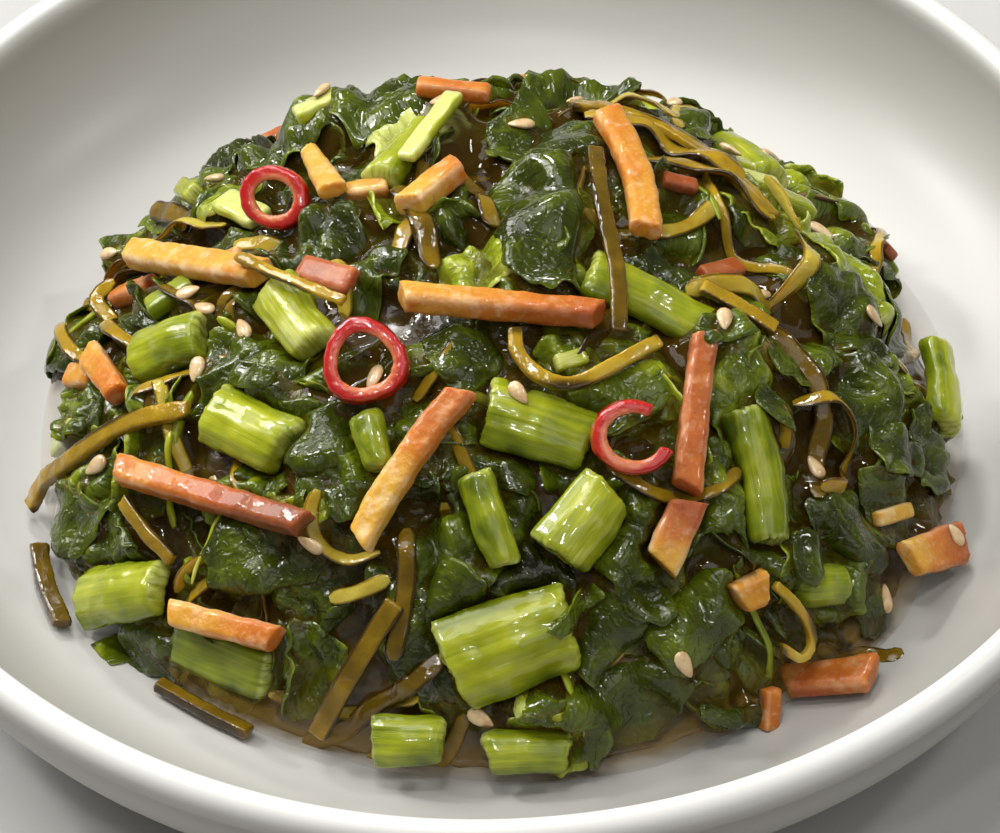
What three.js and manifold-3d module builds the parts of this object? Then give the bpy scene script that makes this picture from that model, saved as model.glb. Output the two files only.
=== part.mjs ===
// A small round dish that holds a heap of pickled mustard greens with carrot, kelp and chilli.
// Millimetres, +Z up. The origin is the centre of the foot ring, on the surface that the dish stands on.
import * as THREE from "three";
import { mergeVertices } from "three/addons/utils/BufferGeometryUtils.js";
import Module from "manifold-3d";

const wasm = await Module();
wasm.setup();

// ---- Driving dimensions ----

const DISH = {
  radius: 75, // outside of the lip
  height: 26,
  floorTop: 8, // upper face of the flat floor
  floorRadius: 46, // where the floor starts to curve up into the wall
  lipInner: 71.7,
  lipBand: 3.6, // height of the lip's outer band
  lipUnderside: 1.4, // how far the lip stands out from the wall
  wall: 4.2,
  footOuter: 38.5,
  footInner: 34.5,
  footRecess: 1.8,
  segments: 44,
};

const HEAP = {
  centreX: 2,
  centreY: -3.5,
  radiusX: 53.2,
  radiusY: 50.7,
  height: 35,
  roundness: 0.7, // exponent of the mound's profile
  edge: 0.9, // thickness of the rim of the heap
  lift: 0.45, // clearance over the dish
  lump: 1.1, // height of the lumps
  lumpSize: 13, // distance from lump to lump
  sectors: 43,
  rings: 11,
};

const GAP = 0.3; // clearance between touching solids
const PALETTE = {
  glaze: { color: 0xe9e8e2, roughness: 0.18, metalness: 0 },
  greens: { color: 0x1f3310, roughness: 0.25, metalness: 0 },
  stem: { color: 0x8fa53a, roughness: 0.25, metalness: 0 },
  carrot: { color: 0xd8702e, roughness: 0.3, metalness: 0 },
  kelp: { color: 0x5b4a1c, roughness: 0.25, metalness: 0 },
  chilli: { color: 0xb3201c, roughness: 0.25, metalness: 0 },
};

// ---- Pieces that lie on the heap ----
// x, y: plan position of the middle. heading: plan direction of the long side, in degrees.
// sink: how far the middle of the piece lies under the heap's surface. pitch, roll: degrees.
// bend: how far the middle bows sideways. taper: width of the far end against the near end.

const CHILLI_RINGS = [
  { x: -21.5, y: 4.5, outer: 3.6, wall: 1.2, height: 1.6, tilt: 43, turn: -12, lift: 3.2, lobes: 2 },
  { x: -12, y: -20.2, outer: 4.5, wall: 1.2, height: 1.9, tilt: 38, turn: -6, lift: 3, lobes: 3 },
  {
    x: 15.4, y: -28.2, outer: 4.1, wall: 1.1, height: 1.7, tilt: 42, turn: 6, lift: 2.7, lobes: 2,
    gap: 80, gapAt: 14,
  },
];

const CARROT_STRIPS = [
  { x: 2, y: -14.6, heading: -7, length: 21.5, width: 3.4, depth: 2.8, roll: -25, sink: -1.4, taper: 0.85 },
  { x: 15.6, y: 5.5, heading: -80, length: 22, width: 3.5, depth: 2.4, roll: 6, sink: -2.2, bend: 1.1 },
  { x: 22.3, y: -24, heading: -98, length: 18, width: 2.9, depth: 2.8, roll: 10, sink: -1.6, taper: 1.1 },
  { x: 20.1, y: -35.7, heading: -117, length: 7.5, width: 4.1, depth: 3.2, pitch: -4, roll: 12, sink: -0.8 },
  { x: -29, y: -28, heading: -34, length: 25.5, width: 3.3, depth: 2.8, roll: -20, sink: -1.2, taper: 0.85 },
  { x: -7.5, y: -31, heading: -131, length: 19.5, width: 3.3, depth: 2.6, roll: 10, sink: -2.2, bend: -0.7 },
  { x: -28, y: -39, heading: -29, length: 13.5, width: 3, depth: 2.6, roll: -20, sink: -0.9 },
  { x: -16.8, y: 7.6, heading: -74, length: 12.5, width: 2.2, depth: 2, pitch: 6, sink: -2.8, taper: 1.5 },
  { x: -31.2, y: 1.7, heading: -43, length: 23, width: 3.6, depth: 2.6, pitch: -3, roll: -10, sink: -1.2 },
  { x: -5, y: 3.5, heading: 48, length: 8.3, width: 3.4, depth: 2.8, roll: -12, sink: -1 },
  { x: -41.3, y: -7, heading: -68, length: 10, width: 3.2, depth: 2.6, roll: -10, sink: -1.1, taper: 0.9 },
  { x: 37.5, y: -42, heading: -4, length: 10, width: 4, depth: 2.4, roll: 8, sink: -2.3, taper: 1.2, onDish: true },
  { x: 48, y: -25, heading: 44, length: 9.6, width: 4.2, depth: 2.2, roll: -16, sink: -1.9, taper: 1.2 },
  { x: 28, y: -38.5, heading: 31, length: 3.6, width: 3.6, depth: 2.8, roll: 6, sink: -1 },
  { x: 11, y: 40, heading: 8, length: 14, width: 3.3, depth: 2.6, roll: 8, sink: -0.7, bend: -0.8 },
  { x: -25, y: 34, heading: 35, length: 12, width: 3, depth: 2.6, roll: 8, sink: -0.7, taper: 0.85 },
];

const STEMS = [
  { x: 2.5, y: -46, heading: 13, length: 13.5, width: 10, depth: 4, roll: -2, sink: -0.3 },
  { x: 10.5, y: -36, heading: 47, length: 8.7, width: 6.8, depth: 3.6, roll: 4, sink: -0.5 },
  { x: -25.5, y: -22.5, heading: -41, length: 10.5, width: 6.6, depth: 3.8, roll: -4, sink: -0.5 },
  { x: -34.6, y: -7.6, heading: -14, length: 9.3, width: 6, depth: 3.8, roll: -4, sink: -0.3 },
  { x: -20.5, y: -11.2, heading: -63, length: 10, width: 5.4, depth: 3.8, roll: 6, sink: -0.4 },
  { x: -39.8, y: -30.5, heading: -30, length: 12.5, width: 6.4, depth: 3.2, roll: -16, sink: -0.9 },
  { x: -8.5, y: -51, heading: -8, length: 7.3, width: 5, depth: 3.4, roll: -22, sink: -1.2 },
  { x: 50.5, y: -5, heading: -87, length: 10.8, width: 5.2, depth: 3, roll: -16, sink: -1.5 },
  { x: 6, y: -27, heading: -15, length: 11.5, width: 7, depth: 3.2, sink: 0.6 },
  { x: 18.5, y: -10.7, heading: -21, length: 14.3, width: 6, depth: 3, roll: -6, sink: 0.4 },
  { x: 29.3, y: -28, heading: -77, length: 14.5, width: 4.6, depth: 3.2, roll: 4, sink: -0.3, bend: 0.9 },
  { x: 0.5, y: -36.2, heading: -69, length: 10, width: 3.4, depth: 3.2, roll: 12, sink: -1 },
  { x: 4.2, y: -52.4, heading: 2, length: 8.5, width: 4.4, depth: 2.8, roll: -24, sink: -1.1 },
  { x: 36.5, y: -34.8, heading: 26, length: 6, width: 4.4, depth: 3, roll: -4, sink: -0.4 },
  { x: -12, y: -27.6, heading: -75, length: 6, width: 3, depth: 2.6, roll: 8, sink: -0.7 },
  { x: -8.5, y: 11.5, heading: 62, length: 11, width: 3.8, depth: 3, roll: -6, sink: -0.9 },
  { x: -9, y: 35, heading: -18, length: 9.5, width: 6.6, depth: 3.6, roll: 2, sink: 0.5 },
  { x: 31, y: 25, heading: -58, length: 10, width: 5.6, depth: 3.4, roll: 2, sink: 0.5 },
];

// path: plan points along the strip. raise: height of its middle over the heap or the dish.
const KELP_STRIPS = [
  {
    path: [[12.4, 8.5], [12.6, 1.5], [13.2, -4], [14, -8.8], [14.3, -13], [14.1, -17.6]],
    raise: 2.6, width: 1.9, depth: 0.9,
  },
  {
    path: [[3.5, -17.6], [3.6, -20], [5, -22], [7, -23.2], [9.7, -23.3], [13.6, -21], [18.6, -17.4]],
    raise: 1.8, width: 1.6, depth: 1.3,
  },
  { path: [[-18, -49], [-14, -45.8], [-9.5, -42]], raise: 1, width: 2.4, depth: 1.1 },
  {
    path: [[-51, -13.6], [-49, -12.4], [-45.8, -13.8], [-39.4, -15], [-34.5, -16.8], [-31.6, -18]],
    raise: 1.1, width: 2.2, depth: 1.2,
  },
  { path: [[-50.2, -19], [-49.2, -25], [-47, -31.5]], raise: 1.2, width: 2.2, depth: 1.2, onDish: true },
  { path: [[-36.2, -39.6], [-31, -43.6], [-26, -46.8]], raise: 1.2, width: 1.8, depth: 1.4, onDish: true },
  {
    path: [[10, 20], [15, 20.5], [20.5, 17.5], [26, 12.5], [31.5, 5]],
    raise: 1.8, width: 2.2, depth: 1,
  },
  { path: [[-39, -23], [-36.4, -27.6], [-33.4, -31.6]], raise: 1, width: 1.7, depth: 1.1 },
  { path: [[23.5, -9], [27.5, -10.4], [31.4, -11.6]], raise: 1.3, width: 2, depth: 1.1 },
  { path: [[-25, -3.5], [-21.5, -7.3], [-17.8, -10.5], [-13.8, -13.5]], raise: 3.9, width: 1.3, depth: 0.9 },
  {
    path: [[30.4, -37.1], [33, -38], [34.4, -39.4], [33.4, -41.2], [31, -41.4]],
    raise: 1.4, width: 1.1, depth: 1.1,
  },
];

// ---- Surfaces ----

const radians = (degrees) => (degrees * Math.PI) / 180;

/** Height of the dish's inner face at a distance from its axis: a flat floor, then a quarter ellipse. */
function dishInner(r) {
  const rise = DISH.height - DISH.floorTop;
  const across = THREE.MathUtils.clamp((r - DISH.floorRadius) / (DISH.lipInner - DISH.floorRadius), 0, 1);
  return DISH.floorTop + rise * (1 - Math.sqrt(1 - across * across));
}

/** Share by which the heap's outline leaves its ellipse, so that it is uneven. */
function outline(angle) {
  const waves = 0.025 * Math.sin(3 * angle + 0.6) + 0.018 * Math.sin(5 * angle + 2.2);
  return 1 + waves + 0.014 * Math.sin(11 * angle);
}

/** Height of the smooth mound over the plan point x, y. */
function mound(x, y) {
  const u = (x - HEAP.centreX) / HEAP.radiusX;
  const v = (y - HEAP.centreY) / HEAP.radiusY;
  const fall = Math.max(1 - u * u - v * v, 0) ** HEAP.roundness;
  return DISH.floorTop + HEAP.height * fall;
}

/** Lumps of folded leaf: waves in four directions, added to the mound. */
function lumps(x, y) {
  const wave = (2 * Math.PI) / HEAP.lumpSize;
  let sum = 0;
  for (let i = 0; i < 4; i++) {
    const turn = i * 0.83 + 0.4;
    sum += Math.sin(wave * (1 + 0.17 * i) * (x * Math.cos(turn) + y * Math.sin(turn)) + 1.9 * i);
  }
  return (HEAP.lump * sum) / 2;
}

/** Height of what a piece rests on: the mound, or the dish where the mound thins out. */
function support(x, y) {
  return Math.max(mound(x, y), dishInner(Math.hypot(x, y)) + 1);
}

/** A point and axes on a surface: along the heading, across it, and out of the surface. */
function seat({ x, y, heading = 0, pitch = 0, roll = 0, sink = 0, onDish = false }) {
  const height = onDish ? (a, b) => dishInner(Math.hypot(a, b)) : support;
  const step = 2;
  const slopeX = (height(x + step, y) - height(x - step, y)) / (2 * step);
  const slopeY = (height(x, y + step) - height(x, y - step)) / (2 * step);
  const out = new THREE.Vector3(-slopeX, -slopeY, 1).normalize();
  const [cos, sin] = [Math.cos(radians(heading)), Math.sin(radians(heading))];
  const along = new THREE.Vector3(cos, sin, slopeX * cos + slopeY * sin).normalize();
  const across = new THREE.Vector3().crossVectors(out, along);
  const tipped = new THREE.Quaternion().setFromAxisAngle(across, radians(-pitch));
  along.applyQuaternion(tipped);
  out.applyQuaternion(tipped);
  const rolled = new THREE.Quaternion().setFromAxisAngle(along, radians(roll));
  across.applyQuaternion(rolled);
  out.applyQuaternion(rolled);
  const lifted = -sink;
  const normal = new THREE.Vector3(-slopeX, -slopeY, 1).normalize();
  const at = new THREE.Vector3(x, y, height(x, y)).addScaledVector(normal, lifted);
  return new THREE.Matrix4().makeBasis(along, across, out).setPosition(at);
}

// ---- Makers ----

/** Moves each vertex of a geometry with a function that changes the point it is given. */
function reshape(geometry, move) {
  const position = geometry.getAttribute("position");
  const point = new THREE.Vector3();
  for (let i = 0; i < position.count; i++) {
    point.fromBufferAttribute(position, i);
    move(point);
    position.setXYZ(i, point.x, point.y, point.z);
  }
  return geometry;
}

/** A closed bar of a flat section, its length along +X, the section's x across and its y out. */
function bar(outlinePoints, length, steps) {
  const shape = new THREE.Shape(outlinePoints.map(([a, b]) => new THREE.Vector2(a, b)));
  const geometry = new THREE.ExtrudeGeometry(shape, { depth: length, steps, bevelEnabled: false });
  return reshape(geometry, (p) => p.set(p.z - length / 2, p.x, p.y));
}

/** Carrot strip: a julienne cut with chamfered edges, a slant at both ends, a taper and a bow. */
function carrotStrip({ length, width, depth, taper = 1, bend = 0 }) {
  const [w, d] = [width / 2, depth / 2];
  const chamfer = 0.5;
  const section = [
    [-w + chamfer, -d], [w - chamfer, -d], [w, -d + chamfer], [w, d - chamfer],
    [w - chamfer, d], [-w + chamfer, d], [-w, d - chamfer], [-w, -d + chamfer],
  ];
  const slant = 0.35;
  return reshape(bar(section, length, 4), (p) => {
    const along = p.x / length; // -0.5 at the near end, 0.5 at the far end
    const narrowing = 1 + (taper - 1) * (along + 0.5);
    p.x += slant * p.y * Math.sign(along) * Math.abs(2 * along) ** 4;
    p.y = p.y * narrowing + bend * (1 - 4 * along * along);
  });
}

/** Stem: a length of leaf stalk, curved across, ribbed on top and hollowed underneath. */
function stem({ length, width, depth, bend = 0, rib = 0.22 }) {
  const curve = width * 0.62; // radius of the rounded top
  const half = Math.asin(width / 2 / curve);
  const ribs = 8;
  const section = [];
  for (let i = 0; i <= ribs; i++) {
    const a = half * (1 - (2 * i) / ribs);
    const r = curve + (i % 2 ? -rib : 0.1);
    section.push([r * Math.sin(a), r * Math.cos(a) - curve]);
  }
  const under = 4;
  for (let i = 0; i <= under; i++) {
    const u = (2 * i) / under - 1;
    section.push([0.43 * width * u, -depth + 0.1 * width * (1 - u * u)]);
  }
  section.reverse();
  return reshape(bar(section, length, 2), (p) => {
    const end = (2 * p.x) / length;
    p.x += 0.12 * p.y * end;
    p.y = p.y * (1 - 0.06 * end) + bend * (1 - end * end);
    p.z += depth / 2 - 0.4 * end * end;
  });
}

/** Chilli ring: a slice of the pod, closed, or open over an angle. It stands up along its own +Z. */
function chilliRing({ outer, wall, height, lobes, gap = 0, gapAt = 0 }) {
  const steps = 16;
  const radiusAt = (a, r) => r * (1 + 0.07 * Math.cos(lobes * a + 0.5));
  const arc = (r, from, to) =>
    Array.from({ length: steps + (gap ? 1 : 0) }, (_, i) => {
      const a = from + ((to - from) * i) / steps;
      return new THREE.Vector2(radiusAt(a, r) * Math.cos(a), radiusAt(a, r) * Math.sin(a));
    });
  const start = radians(gapAt + gap / 2);
  const end = radians(gapAt + 360 - gap / 2);
  const inner = outer - wall;
  const shape = new THREE.Shape(
    gap ? [...arc(outer, start, end), ...arc(inner, end, start)] : arc(outer, 0, 2 * Math.PI),
  );
  if (!gap) shape.holes.push(new THREE.Path(arc(inner, 2 * Math.PI, 0)));
  const geometry = new THREE.ExtrudeGeometry(shape, { depth: height, steps: 1, bevelEnabled: false });
  return reshape(geometry, (p) => {
    p.z -= height / 2;
    const lean = 1 - 0.06 * (p.z / height);
    p.set(p.x * lean, p.y * lean, p.z);
  });
}

/** The space that a chilli ring takes up, with a margin round it: a plain disc. */
function ringRoom({ outer, height }, margin) {
  const reach = outer * 1.07 + margin;
  return new THREE.CylinderGeometry(reach, reach, height + 2 * margin, 12).rotateX(Math.PI / 2);
}

/** The space that a stem takes up, with a margin round it: a plain block that is open to the top. */
function stemRoom({ length, width, depth, bend = 0 }, margin) {
  const w = width / 2 + margin + 0.3;
  const [top, bottom] = [depth / 2 + margin + 1, -depth / 2 - margin - 0.7];
  const section = [[-w, bottom], [w, bottom], [w, top], [-w, top]];
  return reshape(bar(section, length + 2 * margin + 0.14 * width, 2), (p) => {
    const end = THREE.MathUtils.clamp((2 * p.x) / length, -1, 1);
    p.y = p.y * (1 - 0.06 * end) + bend * (1 - end * end);
  });
}

/** The space that a carrot strip takes up, with a margin round it. */
function carrotRoom(spec, margin) {
  const extra = 2.4 * margin;
  const { length, width, depth } = spec;
  return carrotStrip({ ...spec, length: length + extra, width: width + extra, depth: depth + extra });
}

/** Where a chilli ring stands: over the heap, tilted towards the front and turned about the vertical. */
function ringSeat({ x, y, lift, tilt, turn }) {
  const facing = new THREE.Euler(radians(tilt), 0, radians(turn), "ZYX");
  const at = new THREE.Vector3().setFromMatrixPosition(seat({ x, y, sink: -lift }));
  return new THREE.Matrix4().makeRotationFromEuler(facing).setPosition(at);
}

/**
 * Kelp strip: a flat ribbon laid along a plan path over the heap or the dish. It is made in place.
 * With a margin, it is the space that the strip takes up.
 */
function kelpStrip({ path, raise, width, depth, onDish = false }, margin = 0) {
  const plan = new THREE.CatmullRomCurve3(path.map(([x, y]) => new THREE.Vector3(x, y, 0)));
  const steps = 2 * path.length;
  const [w, d] = [width / 2 + margin, depth / 2 + margin];
  const section = [[-w, -d], [w, -d], [w, d], [-w, d]];
  return reshape(bar(section, 1, steps), (p) => {
    const share = p.x + 0.5;
    const at = plan.getPoint(share);
    const ahead = plan.getTangent(share);
    const heading = THREE.MathUtils.radToDeg(Math.atan2(ahead.y, ahead.x));
    const beyond = share < 0.001 ? -margin : share > 0.999 ? margin : 0;
    p.setX(beyond).applyMatrix4(seat({ x: at.x, y: at.y, heading, sink: -raise, onDish }));
  });
}

/** The dish: foot ring, curved body and a thick rounded lip, turned about its axis. */
function dish() {
  const { radius, height, lipBand, lipUnderside, wall, footOuter, footInner, footRecess } = DISH;
  const profile = [
    [0, footRecess], [footInner - 1.2, footRecess], [footInner, 0], [footOuter, 0], [footOuter + 0.8, 1.2],
  ];
  const outerSteps = 6;
  for (let i = 0; i <= outerSteps; i++) {
    const share = Math.sin((i / outerSteps) * (Math.PI / 2));
    const r = THREE.MathUtils.lerp(footOuter + 1.6, radius - lipUnderside, share);
    profile.push([r, Math.min(Math.max(dishInner(r - wall * 0.55) - wall, 2.4), height - lipBand - 1)]);
  }
  profile.push([radius - 0.4, height - lipBand - 0.3], [radius, height - lipBand + 0.6]);
  const crest = DISH.lipInner + 1;
  const roundingSteps = 4;
  for (let i = 0; i <= roundingSteps; i++) {
    const a = (i / roundingSteps) * (Math.PI / 2);
    profile.push([crest + (radius - crest) * Math.cos(a), height - 1.9 * (1 - Math.sin(a))]);
  }
  profile.push([DISH.lipInner + 0.25, height - 0.4]);
  const innerSteps = 8;
  for (let i = 1; i <= innerSteps; i++) {
    const a = (i / innerSteps) * (Math.PI / 2);
    const r = THREE.MathUtils.lerp(DISH.floorRadius, DISH.lipInner, Math.cos(a));
    profile.push([r, dishInner(r)]);
  }
  profile.push([0, DISH.floorTop]);
  const geometry = new THREE.LatheGeometry(profile.map(([r, z]) => new THREE.Vector2(r, z)), DISH.segments);
  return geometry.rotateX(Math.PI / 2);
}

/** The heap: a lumpy mound on rings and sectors, closed underneath by a face that follows the dish. */
function heap() {
  const { sectors, rings } = HEAP;
  const under = [1, 0.92, 0.84, 0.5];
  const points = [];
  const place = (share, angle, top) => {
    const reach = share * outline(angle);
    const x = HEAP.centreX + HEAP.radiusX * reach * Math.cos(angle);
    const y = HEAP.centreY + HEAP.radiusY * reach * Math.sin(angle);
    const foot = dishInner(Math.hypot(x, y)) + HEAP.lift;
    const fade = 1 - share ** 6;
    const fall = Math.max(1 - share * share, 0) ** HEAP.roundness;
    const surface = DISH.floorTop + HEAP.height * fall + lumps(x, y) * fade;
    points.push(x, y, top ? Math.max(surface, foot + HEAP.edge) : foot);
  };
  const shares = Array.from({ length: rings }, (_, i) => Math.sin(((i + 1) / rings) * (Math.PI / 2)));
  const circles = [...shares.map((share) => [share, true]), ...under.map((share) => [share, false])];
  place(0, 0, true);
  for (const [share, top] of circles) {
    for (let s = 0; s < sectors; s++) place(share, (2 * Math.PI * s) / sectors, top);
  }
  place(0, 0, false);
  const index = [];
  const last = points.length / 3 - 1;
  for (let s = 0; s < sectors; s++) {
    const next = (s + 1) % sectors;
    index.push(0, 1 + s, 1 + next);
    for (let c = 0; c < circles.length - 1; c++) {
      const [a, b] = [1 + c * sectors, 1 + (c + 1) * sectors];
      index.push(a + s, b + s, b + next, a + s, b + next, a + next);
    }
    const rim = 1 + (circles.length - 1) * sectors;
    index.push(last, rim + next, rim + s);
  }
  const geometry = new THREE.BufferGeometry();
  geometry.setAttribute("position", new THREE.Float32BufferAttribute(points, 3));
  return geometry.setIndex(index);
}

// ---- Joining and cutting ----

/** A closed geometry as a manifold-3d solid. */
function solidOf(geometry) {
  const bare = geometry.clone();
  bare.deleteAttribute("normal");
  bare.deleteAttribute("uv");
  const merged = mergeVertices(bare, 1e-3);
  return new wasm.Manifold(
    new wasm.Mesh({
      numProp: 3,
      vertProperties: merged.getAttribute("position").array,
      triVerts: new Uint32Array(merged.index.array),
    }),
  );
}

/** A manifold-3d solid as a geometry. */
function geometryOf(solid) {
  const mesh = solid.getMesh();
  const geometry = new THREE.BufferGeometry();
  geometry.setAttribute("position", new THREE.BufferAttribute(mesh.vertProperties, 3));
  geometry.setIndex(new THREE.BufferAttribute(mesh.triVerts, 1));
  geometry.computeVertexNormals();
  return geometry;
}

// ---- Assembly ----

const group = new THREE.Group();
const add = (name, geometry, finish) => {
  const mesh = new THREE.Mesh(geometry, new THREE.MeshStandardMaterial(PALETTE[finish]));
  mesh.name = name;
  group.add(mesh);
};

let greens = solidOf(heap());

/** Adds the pieces of one kind, and cuts the room that each of them needs out of the heap. */
function lay(list, name, finish, make, room, placeOf) {
  list.forEach((spec, i) => {
    const place = placeOf(spec);
    greens = greens.subtract(solidOf(room(spec, GAP).applyMatrix4(place)));
    add(`${name}_${String(i + 1).padStart(2, "0")}`, make(spec).applyMatrix4(place), finish);
  });
}

add("dish", dish(), "glaze");
lay(STEMS, "stem", "stem", stem, stemRoom, seat);
lay(CARROT_STRIPS, "carrot_strip", "carrot", carrotStrip, carrotRoom, seat);
lay(CHILLI_RINGS, "chilli_ring", "chilli", chilliRing, ringRoom, ringSeat);
lay(KELP_STRIPS, "kelp_strip", "kelp", (spec) => kelpStrip(spec), kelpStrip, () => new THREE.Matrix4());
add("greens_heap", geometryOf(greens), "greens");

export default group;
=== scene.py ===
"""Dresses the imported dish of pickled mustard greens: porcelain, folded leaves, cut vegetables and juice."""
import logging
import math
from dataclasses import dataclass
from enum import Enum
from functools import cached_property
from typing import Callable, Protocol, Sequence

import bmesh
import bpy
import numpy as np
from mathutils import Matrix, Vector
from mathutils.kdtree import KDTree


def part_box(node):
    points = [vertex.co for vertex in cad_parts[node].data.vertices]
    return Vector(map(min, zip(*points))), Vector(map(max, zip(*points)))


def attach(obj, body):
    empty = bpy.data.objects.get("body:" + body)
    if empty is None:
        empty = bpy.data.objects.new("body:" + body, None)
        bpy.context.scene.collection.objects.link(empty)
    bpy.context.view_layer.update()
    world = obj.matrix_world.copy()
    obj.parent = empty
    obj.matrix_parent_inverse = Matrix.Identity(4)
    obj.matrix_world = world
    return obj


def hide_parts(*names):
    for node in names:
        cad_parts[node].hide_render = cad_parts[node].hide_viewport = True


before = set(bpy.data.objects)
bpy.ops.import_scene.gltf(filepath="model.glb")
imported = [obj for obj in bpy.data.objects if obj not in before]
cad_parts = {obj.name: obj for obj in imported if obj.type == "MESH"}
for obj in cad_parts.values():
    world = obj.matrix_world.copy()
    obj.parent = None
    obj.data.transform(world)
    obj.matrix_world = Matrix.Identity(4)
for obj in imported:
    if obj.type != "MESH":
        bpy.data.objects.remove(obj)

LOG = logging.getLogger("greens_dish")
MM = 0.001
WATER = 1.34  # refractive index of the wet coat
GOLDEN_TURN = 2.399963  # radians from one piece to the next, which spreads them evenly
BODY = "root"
Array = np.ndarray
Arrays = tuple[Array, Array]
Pair = tuple[float, float]
Triple = tuple[float, float, float]
Colour = Triple


# ---- Numbers on surfaces ----


class Noise:
    """Gradient noise on a lattice. The same points and seed always give the same values."""

    @staticmethod
    def _hash(cell: Array, seed: int) -> Array:
        """Turns whole-number cells into 32-bit numbers that look random."""
        h = (cell[..., 0] * 0x8DA6B343) ^ (cell[..., 1] * 0xD8163841) ^ (cell[..., 2] * 0xCB1AB31F)
        h = (h ^ (seed * 0x9E3779B1)) & 0xFFFFFFFF
        h = ((h ^ (h >> 15)) * 0x2C1B3C6D) & 0xFFFFFFFF
        h = ((h ^ (h >> 12)) * 0x297A2D39) & 0xFFFFFFFF
        return h ^ (h >> 15)

    @classmethod
    def at(cls, points: Array, size: float, seed: int) -> Array:
        """Noise at points.

        Args:
            points: places with two or three coordinates in the last axis, in millimetres.
            size: the distance from one bump to the next, in millimetres.
            seed: which noise.

        Returns:
            One value per point, about -1 to 1.
        """
        flat = points.shape[-1] == 2
        spots = np.asarray(points, float) / size
        if flat:
            spots = np.concatenate([spots, np.zeros_like(spots[..., :1])], axis=-1)
        cell = np.floor(spots).astype(np.int64)
        inside = spots - cell
        fade = inside**3 * (inside * (inside * 6 - 15) + 10)
        total = np.zeros(spots.shape[:-1])
        for corner in range(4 if flat else 8):
            offset = np.array([corner & 1, corner >> 1 & 1, corner >> 2 & 1])
            h = cls._hash(cell + offset, seed)
            slope = np.stack([h & 1023, h >> 10 & 1023, h >> 20 & 1023], axis=-1) / 511.5 - 1
            share = np.prod(np.where(offset, fade, 1 - fade), axis=-1)
            total += share * (slope * (inside - offset)).sum(axis=-1)
        return 1.6 * total


def smooth_step(values: Array, low: float, high: float) -> Array:
    """Goes smoothly from 0 at low to 1 at high."""
    share = np.clip((values - low) / (high - low), 0, 1)
    return share * share * (3 - 2 * share)


@dataclass
class Dome:
    """The mound that the food follows, with a flat chart of it. Millimetres.

    A place on the chart is a distance and a direction from the top, measured along the surface. Past
    the mound's foot, the chart goes on over the floor of the dish.
    """

    centre: Pair = (2.0, -3.5)
    radii: Pair = (53.2, 50.7)
    height: float = 35.0
    roundness: float = 0.7
    floor: float = 8.0
    floor_radius: float = 46.0
    lip_inner: float = 71.7
    lip_height: float = 26.0
    clearance: float = 0.12

    @cached_property
    def profile(self) -> Arrays:
        """Angles from the top down to the foot, and the length along the surface at each."""
        turns = np.linspace(0, math.pi / 2, 900)
        out = sum(self.radii) / 2 * np.sin(turns)
        up = self.height * np.cos(turns) ** (2 * self.roundness)
        steps = np.hypot(np.diff(out), np.diff(up))
        return turns, np.concatenate([[0], np.cumsum(steps)])

    @property
    def reach(self) -> float:
        """Length along the surface from the top to the foot."""
        return float(self.profile[1][-1])

    def dish_height(self, r: Array) -> Array:
        """Height of the dish's inner face at a distance from its axis."""
        across = np.clip((r - self.floor_radius) / (self.lip_inner - self.floor_radius), 0, 1)
        return self.floor + (self.lip_height - self.floor) * (1 - np.sqrt(1 - across * across))

    def chart(self, x: float, y: float) -> Pair:
        """The chart place over a plan point."""
        u = (x - self.centre[0]) / self.radii[0]
        v = (y - self.centre[1]) / self.radii[1]
        share = math.hypot(u, v)
        past = max(share - 1, 0) * sum(self.radii) / 2
        turns, lengths = self.profile
        length = float(np.interp(math.asin(min(share, 1)), turns, lengths)) + past
        return length * u / max(share, 1e-9), length * v / max(share, 1e-9)

    def surface(self, a: Array, b: Array) -> Arrays:
        """The mound at chart places.

        Args:
            a, b: the places.

        Returns:
            The points and the outward directions there.
        """
        length = np.maximum(np.hypot(a, b), 1e-6)
        cos, sin = a / length, b / length
        turns, lengths = self.profile
        turn = np.interp(length, lengths, turns)
        past = np.maximum(length - self.reach, 0)
        rho = np.sin(turn)
        x = self.centre[0] + (self.radii[0] * rho + past) * cos
        y = self.centre[1] + (self.radii[1] * rho + past) * sin
        level = np.cos(turn) ** 2
        z = self.floor + self.height * level**self.roundness
        z = np.maximum(z, self.dish_height(np.hypot(x, y)))
        steep = 2 * self.roundness * self.height * np.maximum(level, 0.004) ** (self.roundness - 1)
        steep = steep * (1 - smooth_step(past, 0, 2))
        out = np.stack(
            [steep * rho * cos / self.radii[0], steep * rho * sin / self.radii[1], np.ones_like(z)], axis=-1
        )
        return np.stack([x, y, z], axis=-1), out / np.linalg.norm(out, axis=-1, keepdims=True)

    def lift(self, a: Array, b: Array, h: Array) -> Array:
        """Points at a height over chart places, kept above the dish."""
        base, out = self.surface(a, b)
        points = base + out * np.asarray(h)[..., None]
        low = self.dish_height(np.hypot(points[..., 0], points[..., 1])) + self.clearance
        points[..., 2] = np.maximum(points[..., 2], low)
        return points

    def spot(self, far: float, turn: float) -> Pair:
        """The plan point at a distance from the top, along the surface, and a direction in radians."""
        points, _ = self.surface(np.array([far * math.cos(turn)]), np.array([far * math.sin(turn)]))
        return points[0][0], points[0][1]

    def heading(self, x: float, y: float, plan_heading: float) -> float:
        """The chart's heading for a plan heading at a plan point, in degrees."""
        turn = math.radians(plan_heading)
        a, b = self.chart(x, y)
        c, d = self.chart(x + 0.5 * math.cos(turn), y + 0.5 * math.sin(turn))
        return math.degrees(math.atan2(d - b, c - a))


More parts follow.
